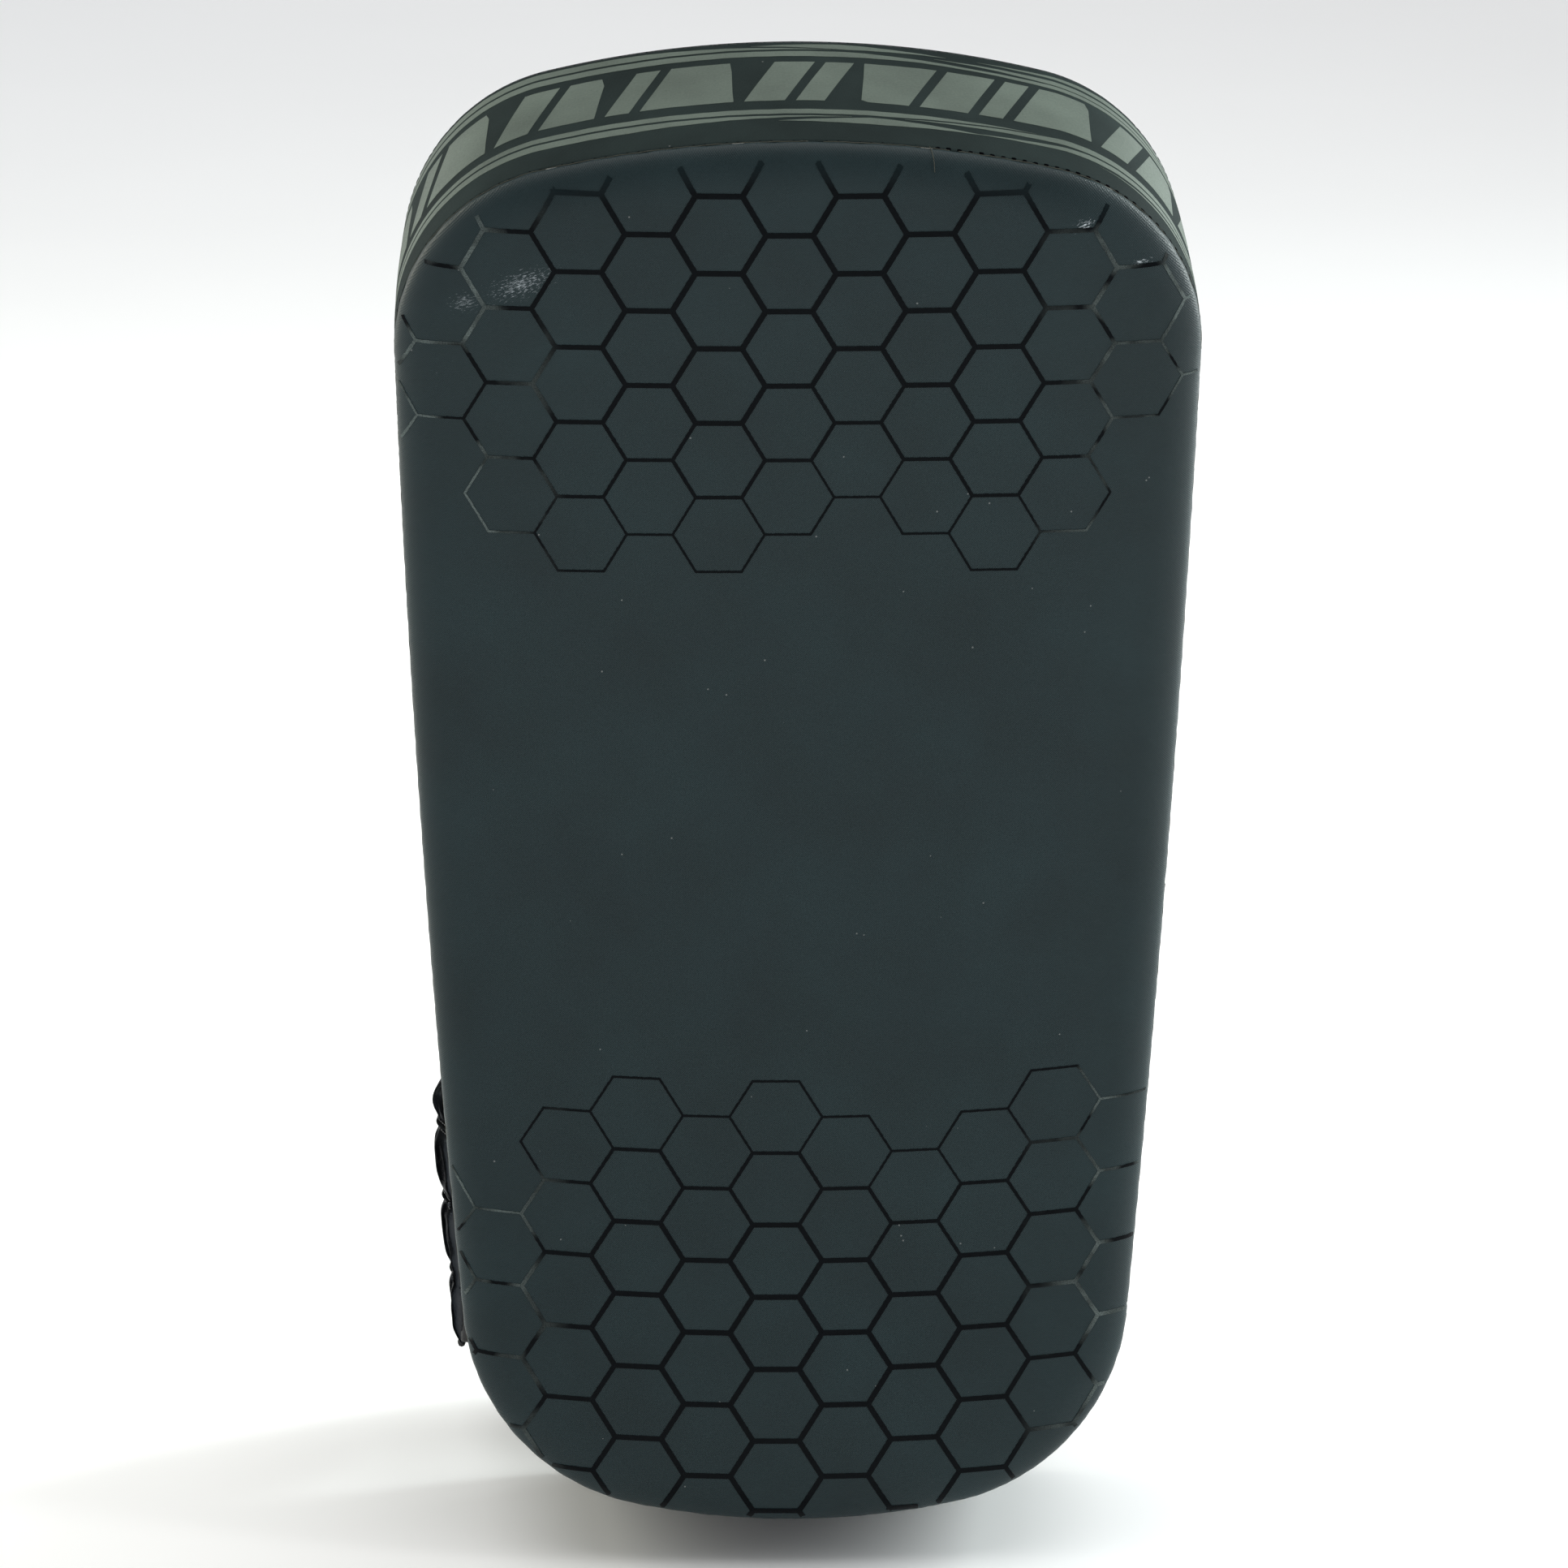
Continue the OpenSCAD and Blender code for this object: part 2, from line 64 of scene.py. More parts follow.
# ---- The shield's own dimensions, in millimetres, as in the CAD model ----
MM = 0.001
FACE_LENGTH = 730.0
TOP_WIDTH = 410.0
BOTTOM_WIDTH = 334.0
THICKNESS = 140.0
BEND_ANGLE = 24.0
TOP_CROWN = 40.0
BOTTOM_CROWN = 36.0
TOP_CORNER = 96.0
BOTTOM_CORNER = 112.0
SIDE_SWELL = 4.7
EDGE_WIDTH = 20.0
EDGE_DEPTH = 14.0
GRIP_AT = 105.0
GRIP_STAND = 50.0
GRIP_FOOT = 92.0
GRAB_AT = 236.0
GRAB_STAND = 44.0
GRAB_FOOT = 84.0
CUFF_AT = -237.0
STRAP_AT = -62.0
STRAP_SHIFT = 12.0
CUFF_HEIGHT = 142.0
STRAP_HEIGHT = 96.0
PADDING = 22.0
CUSHION_WIDTH = 118.0
CUSHION_STAND = 18.0

BEND = FACE_LENGTH / math.radians(BEND_ANGLE)
GUSSET_DEPTH = THICKNESS - EDGE_DEPTH
ORIGIN = np.zeros(3)


def curved(x, r, a):
    """Place in the shared frame, in metres: x across, at radius r and angle a about the bend's axis."""
    x, y, z = np.broadcast_arrays(x, r * np.cos(a) - BEND, r * np.sin(a))
    return np.stack([x, y, z], -1) * MM - ORIGIN


def bent(x, v, d):
    """Place of x across, v along the face and d behind it."""
    return curved(x, BEND + d, np.asarray(v, float) / BEND)


ORIGIN = bent(0.0, GRIP_AT, THICKNESS + GRIP_STAND)


def wrap(at, x, y, z):
    """Place of (x, y, z) over the back: y out from the panel, z up along it from at."""
    r = BEND + THICKNESS + np.asarray(y, float)
    return curved(x, r, at / BEND + z / r)


# ---- Camera, as fitted to the photo ----
def aim_camera():
    lens_mm, shift, distance = 136.02, -0.00824, 3.0
    height, yaw, roll = math.radians(17.75), math.radians(-1.456), math.radians(0.18)
    target = Vector((0, 0, 0.03005)) - Vector(ORIGIN)
    back = Vector((math.sin(yaw) * math.cos(height), -math.cos(yaw) * math.cos(height), math.sin(height)))
    right = Vector((math.cos(yaw), math.sin(yaw), 0))
    up = back.cross(right)
    right, up = right * math.cos(roll) + up * math.sin(roll), up * math.cos(roll) - right * math.sin(roll)
    data = bpy.data.cameras.new("camera")
    data.lens, data.sensor_width, data.shift_x = lens_mm, 36, shift
    camera = bpy.data.objects.new("camera", data)
    m = Matrix((right, up, back)).transposed().to_4x4()
    m.translation = target + back * distance
    camera.matrix_world = m
    scene.collection.objects.link(camera)
    scene.camera = camera


aim_camera()


# ---- Mesh helpers ----
def new_object(name, verts, faces, mat, surf=None, smooth=True):
    """A mesh piece. surf gives each point's place over its own surface, for the material."""
    mesh = bpy.data.meshes.new(name)
    mesh.from_pydata(np.asarray(verts, float).reshape(-1, 3).tolist(), [], [list(map(int, f)) for f in faces])
    mesh.validate()
    if surf is not None:
        a = mesh.attributes.new("surf", "FLOAT_VECTOR", "POINT")
        a.data.foreach_set("vector", np.asarray(surf, np.float32).reshape(-1))
    for p in mesh.polygons:
        p.use_smooth = smooth
    obj = bpy.data.objects.new(name, mesh)
    scene.collection.objects.link(obj)
    mesh.materials.append(mat)
    return obj


def grid_faces(rows, cols, closed=False, first=0):
    """Quads over rows of points, each row joined into a loop if closed."""
    out = []
    for i in range(rows - 1):
        for j in range(cols if closed else cols - 1):
            a, b = first + i * cols + j, first + i * cols + (j + 1) % cols
            out.append((a, b, b + cols, a + cols))
    return out


def turned(faces):
    return [f[::-1] for f in faces]


def tube_faces(rows, cols, first=0):
    """A closed grid with a cap on each end."""
    last = first + (rows - 1) * cols
    caps = [tuple(range(first, first + cols))[::-1], tuple(range(last, last + cols))]
    return grid_faces(rows, cols, True, first) + caps


def modifier(obj, kind, **values):
    m = obj.modifiers.new(kind.lower(), kind)
    for key, value in values.items():
        setattr(m, key, value)


def apply_modifiers(obj):
    bpy.context.view_layer.update()
    depsgraph = bpy.context.evaluated_depsgraph_get()
    mesh = bpy.data.meshes.new_from_object(obj.evaluated_get(depsgraph), depsgraph=depsgraph)
    obj.modifiers.clear()
    obj.data = mesh


def sheet(obj):
    modifier(obj, "SOLIDIFY", thickness=0.0012, offset=-1)
    return obj


def smoother(obj):
    modifier(obj, "SUBSURF", levels=1, render_levels=1)
    apply_modifiers(obj)


def label(obj, slot, nodes):
    if nodes:
        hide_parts(*nodes)


def piece(obj, body, slot, *nodes):
    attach(obj, body)
    label(obj, slot, nodes)


def riding(body):
    """How pieces join a single body."""
    return lambda obj, slot, *nodes: piece(obj, body, slot, *nodes)


def hinged(at, x, low, high):
    """How pieces across a joint are kept: their place is baked into the mesh, not tied to a body."""
    def join(obj, slot, *nodes):
        tuple(wrap(at, x, low, 0.0))
        tuple(wrap(at, x, high, 0.0))
        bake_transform(obj)
        label(obj, slot, nodes)
    return join


def smoothstep(t):
    t = np.clip(t, 0, 1)
    return t * t * (3 - 2 * t)


def dome(t):
    """A quarter round: 0 at t = 0, and 1 from t = 1 on."""
    return np.sqrt(1 - (1 - np.clip(t, 0, 1)) ** 2)


def waves(x, y, seed=0.0):
    """A soft, fixed unevenness between about -1 and 1, for places in millimetres."""
    return (
        np.sin(x / 41 + 1.3 * np.sin(y / 67 + seed) + seed)
        + 0.6 * np.sin(y / 33 + 1.1 * np.sin(x / 53 + 2 * seed) + 1.7)
        + 0.4 * np.sin((x + y) / 19 + 2.3 * seed)
    ) / 2


# ---- The outline: half of it, from the top's middle round the right side to the bottom's ----
def make_outline():
    slope = (TOP_WIDTH - BOTTOM_WIDTH) / 2 / FACE_LENGTH
    lean = math.atan(slope)
    half = (TOP_WIDTH + BOTTOM_WIDTH) / 4
    top_r = (TOP_WIDTH**2 / 4 + TOP_CROWN**2) / (2 * TOP_CROWN)
    low_r = (BOTTOM_WIDTH**2 / 4 + BOTTOM_CROWN**2) / (2 * BOTTOM_CROWN)
    top_v, low_v = FACE_LENGTH / 2 - top_r, low_r - FACE_LENGTH / 2
    arc_points, side_points = 400, 900

    def corner(r, end_r, end_v, end):
        b, p = half - r / math.cos(lean), 1 + slope * slope
        q, s = 2 * (slope * b - end_v), b * b + end_v * end_v - (end_r - r) ** 2
        v = (-q + end * math.sqrt(q * q - 4 * p * s)) / (2 * p)
        return np.array([slope * v + b, v])

    def arc(c, r, a0, a1, end):
        t = np.linspace(a0, a1, arc_points)
        return np.stack([c[0] + r * np.sin(t), c[1] + end * r * np.cos(t)], -1)

    c0, c1 = corner(TOP_CORNER, top_r, top_v, 1), corner(BOTTOM_CORNER, low_r, low_v, -1)
    t0, t1 = math.atan2(c0[0], c0[1] - top_v), math.atan2(c1[0], low_v - c1[1])
    right = math.pi / 2
    a = arc((0, top_v), top_r, 0, t0, 1)
    b = arc(c0, TOP_CORNER, t0, right + lean, 1)
    k = np.linspace(0, 1, side_points)[:, None]
    d = arc(c1, BOTTOM_CORNER, right - lean, t1, -1)
    side = b[-1] + (d[0] - b[-1]) * k + np.concatenate([4 * SIDE_SWELL * k * (1 - k), 0 * k], 1)
    e = arc((0, low_v), low_r, t1, 0, -1)
    points = np.concatenate([a, b[1:], side[1:], d[1:], e[1:]])
    run = np.concatenate([[0], np.cumsum(np.linalg.norm(np.diff(points, axis=0), axis=1))])
    top = 2 * (arc_points - 1)
    return points, run, run[top], run[top + side_points - 1]


half_points, half_run, SIDE_TOP, SIDE_LOW = make_outline()
HALF = half_run[-1]


def edge_at(u):
    """(x, v, normal x, normal v) at u along the outline; 0 is the top, + is to the right."""
    u = (np.asarray(u, float) + HALF) % (2 * HALF) - HALF
    side = np.where(u < 0, -1.0, 1.0)

    def at(w):
        w = np.abs(w)
        w = np.where(w > HALF, 2 * HALF - w, w)
        return np.interp(w, half_run, half_points[:, 0]), np.interp(w, half_run, half_points[:, 1])

    step = 4.0
    w = np.abs(u)
    x, v = at(w)
    x0, v0 = at(w - step)
    x1, v1 = at(w + step)
    x0 = np.where(w < step, -x0, x0)
    x1 = np.where(w > HALF - step, -x1, x1)
    tx, tv = x1 - x0, v1 - v0
    n = np.hypot(tx, tv)
    return x * side, v, -tv / n * side, tx / n


edge_tree = kdtree.KDTree(2000)
edge_samples = np.array(edge_at(np.linspace(-HALF, HALF, 2000, endpoint=False)))
for index, (ex, ev) in enumerate(edge_samples[:2].T):
    edge_tree.insert((ex, ev, 0), index)
edge_tree.balance()


def inside(x, v):
    """Distance in from the outline, and the outward normal there."""
    s, nx, nv = np.zeros((3,) + x.shape)
    for k in np.ndindex(x.shape):
        _, i, _ = edge_tree.find((x[k], v[k], 0))
        ex, ev, nx[k], nv[k] = edge_samples[:, i]
        s[k] = (ex - x[k]) * nx[k] + (ev - v[k]) * nv[k]
    return s, nx, nv


# ---- The strike face's surface ----
CROWN_REACH = 90.0
CROWN = 3.0


def face_depth(s):
    """Depth of the padded face at s in from its outline: crowned, then rounded over."""
    soft = np.clip(1 - s / CROWN_REACH, 0, 1) ** 2.2
    tight = 1 - np.sqrt(1 - np.clip(1 - s / EDGE_WIDTH, 0, 1) ** 2)
    return -CROWN + 2 * CROWN * soft + (EDGE_DEPTH - CROWN) * tight


def face_place(x, v, s, nx, nv, lift=0.0):
    """Place over the face, lifted off its surface along its normal."""
    d = face_depth(s)
    m = (face_depth(s + 0.05) - face_depth(np.maximum(s - 0.05, 0))) / 0.1
    n = np.sqrt(1 + m * m)
    out = -lift * m / n
    uneven = 0.45 * waves(x, v) * smoothstep(s / 40)
    return bent(x + out * nx, v + out * nv, d - lift / n + uneven)


# ---- Materials ----
# White scuffs on the face, then two pale glints that are painted highlights, in metres: x, v, reach, stretch, tilt in
# degrees, strength
SCUFFS_AND_GLINTS = (
    (-0.1355, 0.2970, 0.0128, 2.6, 22.0, 0.44),
    (-0.1640, 0.2870, 0.0095, 1.7, 14.0, 0.30),
    # The last two are painted highlights, not scuffs
    (0.1390, 0.3262, 0.0060, 1.5, 20.0, 1.00),
    (0.1670, 0.3068, 0.0032, 3.0, 4.0, 0.90),
)
SCUFF_AND_GLINT_COLOR = (0.62, 0.68, 0.72, 1)
DUST_COLOR = (0.55, 0.56, 0.54, 1)
# Pale ink near the sides: rubbed wear, and also a painted sheen
RUBBED_INK_AND_SHEEN = (0.120, 0.148, 0.142, 1)
FADED_INK = (0.0120, 0.0200, 0.0220, 1)


def shade(color, k):
    return tuple(c * k for c in color) + (1.0,)


class Mat:
    """A node material under construction, with short calls for the nodes it uses."""

    def __init__(self, name, rough=0.5, **sockets):
        self.mat = bpy.data.materials.new(name)
        self.mat.use_nodes = True
        self.tree = self.mat.node_tree
        self.shader = self.tree.nodes["Principled BSDF"]
        self.set(self.shader, "Roughness", rough)
        for key, value in sockets.items():
            self.set(self.shader, key.replace("_", " "), value)

    def set(self, node, key, value):
        if isinstance(value, bpy.types.NodeSocket):
            self.tree.links.new(value, node.inputs[key])
        else:
            node.inputs[key].default_value = value

    def new(self, kind, inputs, **props):
        n = self.tree.nodes.new("ShaderNode" + kind)
        for key, value in props.items():
            setattr(n, key, value)
        for key, value in inputs.items():
            self.set(n, key, value)
        return n.outputs

    def math(self, op, a, b=0.0, c=0.0):
        return self.new("Math", {0: a, 1: b, 2: c}, operation=op)[0]

    def vector(self, op, a, b=(0, 0, 0)):
        return self.new("VectorMath", {0: a, 1: b}, operation=op)["Value" if op == "LENGTH" else 0]

    def place(self, surf, scale=(1, 1, 1)):
        """The object's own coordinates, or those over its surface."""
        base = self.new("Attribute", {}, attribute_name="surf") if surf else self.new("TexCoord", {})
        return self.vector("MULTIPLY", base["Vector" if surf else "Object"], scale)

    def split(self, at):
        return self.new("SeparateXYZ", {0: at})

    def noise(self, at, scale, detail=4.0, rough=0.55):
        return self.new("TexNoise", {"Vector": at, "Scale": scale, "Detail": detail, "Roughness": rough})["Fac"]

    def cells(self, at, scale, randomness=1.0):
        return self.new("TexVoronoi", {"Vector": at, "Scale": scale, "Randomness": randomness})["Distance"]

    def span(self, value, low, high, to_low=0.0, to_high=1.0):
        return self.new("MapRange", {"Value": value, "From Min": low, "From Max": high,
                                     "To Min": to_low, "To Max": to_high})[0]

    def mix(self, k, a, b):
        return self.new("Mix", {0: k, 6: a, 7: b}, data_type="RGBA")[2]

    def tones(self, k, color, low, high):
        """From one shade of a colour to another."""
        return self.mix(k, shade(color, low), shade(color, high))

    def share(self, value, k):
        return self.math("MULTIPLY", value, k)

    def weave(self, at, pitch):
        """Over-and-under threads at a pitch in metres."""
        x, y, _ = self.split(at)
        a, b = (self.math("SINE", self.share(c, math.tau / pitch)) for c in (x, y))
        return self.math("MULTIPLY_ADD", self.share(a, b), 0.5, 0.5)

    def scuff_and_glint(self, at, x, v, reach, stretch, tilt, strength):
        """Scratched white specks about (x, v) on a surface, drawn out along tilt degrees; in metres. The same specks
        also paint pale glints, as painted highlights.
        """
        spin = {"Vector": at, "Center": (x, v, 0), "Angle": -math.radians(tilt)}
        spun = self.new("VectorRotate", spin, rotation_type="Z_AXIS")[0]
        local = self.vector("SUBTRACT", spun, (x, v, 0))
        far = self.vector("LENGTH", self.vector("MULTIPLY", local, (1 / (reach * stretch), 1 / reach, 0)))
        grain = self.noise(self.vector("MULTIPLY", spun, (0.35, 1, 1)), 1300.0, 3.0, 0.7)
        spread = self.math("ADD", grain, self.span(far, 0.0, 1.0, 0.20, -0.12))
        return self.span(spread, 0.62, 0.80, 0.0, strength)

    def finish(self, color, rough, height=None, depth=0.0):
        self.set(self.shader, "Base Color", color)
        self.set(self.shader, "Roughness", rough)
        if height is not None:
            bump = self.new("Bump", {"Height": height, "Distance": depth, "Strength": 1.0})
            self.set(self.shader, "Normal", bump[0])
        return self.mat


def woven(name, color, pitch, rough, surf=True, dust=0.12, contrast=0.35, scuffs_and_glints=(), **sockets):
    """A coated woven cover: fine threads, cloudy wear (at higher contrast on the gussets, where it also paints soft
    satin highlights), and specks of dust.
    """
    m = Mat(name, rough, **sockets)
    at = m.place(surf)
    threads = m.weave(at, pitch)
    cloud, fine = m.noise(at, 14.0, 5.0), m.noise(at, 900.0, 2.0)
    tone = m.tones(m.span(cloud, 0.35, 0.7), color, 1 - contrast / 2, 1 + contrast / 2)
    tone = m.mix(m.share(threads, 0.35), tone, shade(color, 0.62))
    spots = m.math("LESS_THAN", m.cells(at, 95.0), 0.045)
    patchy = m.math("GREATER_THAN", m.noise(at, 40.0, 1.0), 0.56)
    tone = m.mix(m.share(m.share(spots, patchy), dust * 2), tone, DUST_COLOR)
    # White scuffs, and pale glints that are painted highlights
    for scuff_and_glint in scuffs_and_glints:
        tone = m.mix(m.scuff_and_glint(at, *scuff_and_glint), tone, SCUFF_AND_GLINT_COLOR)
    both = m.math("MULTIPLY_ADD", fine, 0.5, m.share(cloud, 0.5))
    ro = m.span(both, 0.3, 0.7, rough - 0.08, rough + 0.08)
    return m.finish(tone, ro, m.math("MULTIPLY_ADD", fine, 0.4, threads), 0.00012)


def grained(name, color, rough, scale=900.0, **sockets):
    """Smooth vinyl or moulded rubber: a pebbled grain, soft creases and rubbed patches."""
    m = Mat(name, rough, **sockets)
    at = m.place(False)
    pebble, cloud = m.cells(at, scale), m.noise(at, 22.0, 6.0)
    crease = m.noise(at, 130.0, 5.0, 0.65)
    tone = m.tones(m.span(cloud, 0.35, 0.7), color, 0.8, 1.2)
    ro = m.span(cloud, 0.3, 0.72, max(rough - 0.1, 0.06), rough + 0.12)
    return m.finish(tone, ro, m.math("MULTIPLY_ADD", crease, 1.6, m.share(pebble, 0.5)), 0.00015)


def foam(name, color, scale):
    m = Mat(name, 0.95)
    at = m.place(False)
    cells = m.cells(at, scale)
    tone = m.tones(m.noise(at, 30.0, 3.0), color, 0.8, 1.15)
    tone = m.mix(m.span(cells, 0.0, 0.35, 0.6, 0.0), tone, shade(color, 0.45))
    return m.finish(tone, m.span(cells, 0.0, 0.5, 0.8, 1.0), cells, 0.0006)


def metal(name, color, rough):
    m = Mat(name, rough, Metallic=1.0)
    brushed = m.noise(m.place(False, (1, 1, 9)), 700.0, 3.0)
    tone = m.tones(m.span(m.noise(m.place(False), 260.0, 5.0), 0.4, 0.75), color, 0.7, 1.5)
    return m.finish(tone, m.span(brushed, 0.3, 0.7, rough - 0.08, rough + 0.14), brushed, 0.00006)


def thread_mat(name, color, rough=0.6, **sockets):
    m = Mat(name, rough, **sockets)
    fibre = m.noise(m.place(False), 2600.0, 3.0)
    return m.finish(m.tones(fibre, color, 0.6, 1.5), m.span(fibre, 0.3, 0.7, rough - 0.1, rough + 0.15), fibre, 0.0001)


def hook_loop(name, color, scale):
    m = Mat(name, 0.9)
    at = m.place(True)
    tufts, fluff = m.cells(at, scale, 0.6), m.noise(at, scale * 1.7, 4.0)
    rough = m.span(fluff, 0.3, 0.7, 0.75, 1.0)
    return m.finish(m.tones(fluff, color, 0.6, 1.9), rough, m.math("MULTIPLY_ADD", tufts, 1.0, fluff), 0.0008)


def mesh_knit(name, color):
    m = Mat(name, 0.85)
    at = m.place(True)
    fine = m.noise(at, 1500.0, 2.0)
    hole = m.span(m.cells(at, 330.0, 0.15), 0.12, 0.34, 1.0, 0.0)
    tone = m.mix(hole, m.tones(fine, color, 0.8, 1.7), shade(color, 0.25))
    return m.finish(tone, m.span(fine, 0.3, 0.7, 0.78, 0.95), m.math("MULTIPLY_ADD", hole, -1.0, fine), 0.0006)


def web_mat(name, color):
    """Heavy woven webbing: ribs along its length and a chevron across them."""
    m = Mat(name, 0.7)
    at = m.place(True)
    along, across, _ = m.split(at)
    zig = m.math("ADD", along, m.math("PINGPONG", across, 0.0025))
    rib, cord = (m.math("SINE", m.share(c, math.tau / pitch)) for c, pitch in ((zig, 0.0022), (across, 0.0017)))
    height = m.math("MULTIPLY_ADD", rib, 0.3, m.math("MULTIPLY_ADD", cord, 0.25, 0.5))
    fibre = m.noise(at, 1600.0, 3.0)
    tone = m.mix(m.share(fibre, 0.4), m.tones(height, color, 0.55, 1.5), shade(color, 1.9))
    return m.finish(tone, m.span(fibre, 0.3, 0.7, 0.6, 0.82), height, 0.00035)


def gloss_ink(name, color):
    """Thick glossy print: it pools and thins, has fine scratches, and turns pale in patches towards the sides, partly
    rubbed ink and partly a painted sheen of the side lights.
    """
    m = Mat(name, 0.2, Specular_IOR_Level=0.05)
    surf = m.place(True)
    x, v, _ = m.split(surf)
    ripple = m.noise(m.place(False), 320.0, 4.0)
    scratch = m.noise(m.place(False, (1, 1, 14)), 150.0, 5.0, 0.7)
    # Paler towards the sides: rubbed ink, and a painted reflection where the lines catch the side lights
    aside = m.span(m.math("ABSOLUTE", x), 0.116, 0.158)
    patch = m.span(m.noise(surf, 34.0, 2.0), 0.44, 0.60)
    grit = m.span(m.noise(surf, 1500.0, 2.0), 0.3, 0.6, 0.35, 1.0)
    tone = m.mix(m.share(m.share(aside, patch), grit), m.tones(ripple, color, 0.6, 1.5), RUBBED_INK_AND_SHEEN)
    # It fades into the cover just below the top seam
    bow = m.share(m.math("POWER", m.math("ABSOLUTE", x), 2.0), -0.917)
    below = m.math("SUBTRACT", m.math("ADD", bow, 0.365), v)
    tone = m.mix(m.span(below, 0.005, 0.019, 0.9, 0.0), tone, FADED_INK)
    return m.finish(tone, m.span(scratch, 0.35, 0.7, 0.14, 0.34), ripple, 0.00016)


def satin_print(name, color):
    m = Mat(name, 0.5, Specular_IOR_Level=0.12)
    at = m.place(True)
    threads = m.weave(at, 0.0011)
    cloud, fine = m.noise(at, 18.0, 5.0), m.noise(at, 700.0, 3.0)
    # The cloudy tone is random wear, and also paints soft satin highlights of the print's wrinkles
    tone = m.tones(m.span(cloud, 0.35, 0.7), color, 0.78, 1.16)
    tone = m.mix(m.share(threads, 0.4), tone, shade(color, 0.6))
    tone = m.mix(m.share(m.math("GREATER_THAN", fine, 0.69), 0.35), tone, shade(color, 0.4))
    return m.finish(tone, m.span(fine, 0.3, 0.7, 0.42, 0.60), m.math("MULTIPLY_ADD", fine, 0.4, threads), 0.00009)


COVER = woven("cover", (0.0125, 0.0265, 0.0295), 0.0012, 0.46, scuffs_and_glints=SCUFFS_AND_GLINTS, Specular_IOR_Level=0.22)
# The gussets' cloudy tone runs at higher contrast: random wear, and also painted satin highlights of soft wrinkles
GUSSET = woven("gusset", (0.0205, 0.0298, 0.0288), 0.0012, 0.72, contrast=0.5, Specular_IOR_Level=0.03)
SIDE = woven("side_gusset", (0.0150, 0.0212, 0.0222), 0.0012, 0.72, contrast=0.5, Specular_IOR_Level=0.03)
BACK = woven("back", (0.0125, 0.0165, 0.0175), 0.0014, 0.62, Specular_IOR_Level=0.15)
INK = gloss_ink("hexagon_ink", (0.002, 0.003, 0.004))
PRINT = satin_print("gusset_print", (0.121, 0.151, 0.126))
VINYL = grained("vinyl", (0.006, 0.007, 0.008), 0.28, Specular_IOR_Level=0.35, Coat_Weight=0.12)
# Black gloss with no sheen at a glancing angle: reflectance 0.04 head-on, tinted dark at the rim
QUILT = grained("quilted_vinyl", (0.040, 0.043, 0.047), 0.3, 700.0, Metallic=1.0, Specular_Tint=(0.10, 0.10, 0.11, 1.0))
BINDING = woven("binding", (0.018, 0.019, 0.021), 0.0009, 0.62, surf=False, dust=0.0)
THREAD = thread_mat("thread", (0.035, 0.038, 0.040))
PALE_THREAD = thread_mat("pale_thread", (0.30, 0.31, 0.29))
# Needle holes are near-black capsules: painted shade, where the real holes are only dark recesses
HOLE_SHADE = thread_mat("needle_hole_shade", (0.002, 0.002, 0.003), 0.9, Specular_IOR_Level=0.0)
LIP = thread_mat("cut_edge", (0.070, 0.072, 0.058), 0.8, Specular_IOR_Level=0.1)
LOOP = hook_loop("loop_tape", (0.020, 0.020, 0.022), 700.0)
HOOK = hook_loop("hook_tape", (0.014, 0.014, 0.016), 900.0)
MESH = mesh_knit("air_mesh", (0.022, 0.023, 0.026))
WEB = web_mat("webbing", (0.011, 0.011, 0.012))
METAL = metal("gunmetal", (0.22, 0.22, 0.23), 0.34)

cad_mats = dict.fromkeys(("vent_eyelets", "grip_rivets", "grip_washers", "grab_rivets", "grab_washers"), METAL)
cad_mats["strike_foam"] = foam("soft_foam", (0.62, 0.61, 0.56), 420.0)
cad_mats["impact_foam"] = foam("firm_foam", (0.06, 0.10, 0.17), 700.0)
cad_mats["backing_foam"] = foam("backing_foam", (0.22, 0.23, 0.25), 800.0)
for node_name, mat in cad_mats.items():
    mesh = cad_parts[node_name].data
    mesh.materials.clear()
    mesh.materials.append(mat)


# ---- Cover: strike face and back panel ----
def slab_sheet(insets, cols):
    """Rings at insets from the outline, then rows across the last ring, as one flat sheet."""
    x0, v0, nx, nv = RIM
    rings = [np.stack([x0 - s * nx, v0 - s * nv], -1) for s in insets]
    n = len(x0)
    faces = turned(grid_faces(len(rings), n, True))
    last, half = (len(rings) - 1) * n, n // 2
    inner, index = [], []
    count = last + n
    k = np.linspace(0, 1, cols + 1)[1:-1, None]
    for j in range(1, half):
        a, b = rings[-1][n - j], rings[-1][j]
        inner.append(a + (b - a) * k)
        index.append([last + n - j] + list(range(count, count + cols - 1)) + [last + j])
        count += cols - 1
    top, bottom = last, last + half
    faces += [(top, index[0][k], index[0][k + 1]) for k in range(cols)]
    for r0, r1 in zip(index, index[1:]):
        faces += [(r0[k], r1[k], r1[k + 1], r0[k + 1]) for k in range(cols)]
    faces += [(bottom, index[-1][k + 1], index[-1][k]) for k in range(cols)]
    return np.concatenate(rings + inner), faces


def flat_surf(points):
    return np.concatenate([points, np.zeros((len(points), 1))], 1) * MM


RING_POINTS = 480
RING_RUN = np.linspace(0, 2 * HALF, RING_POINTS, endpoint=False)
RIM = edge_at(RING_RUN)


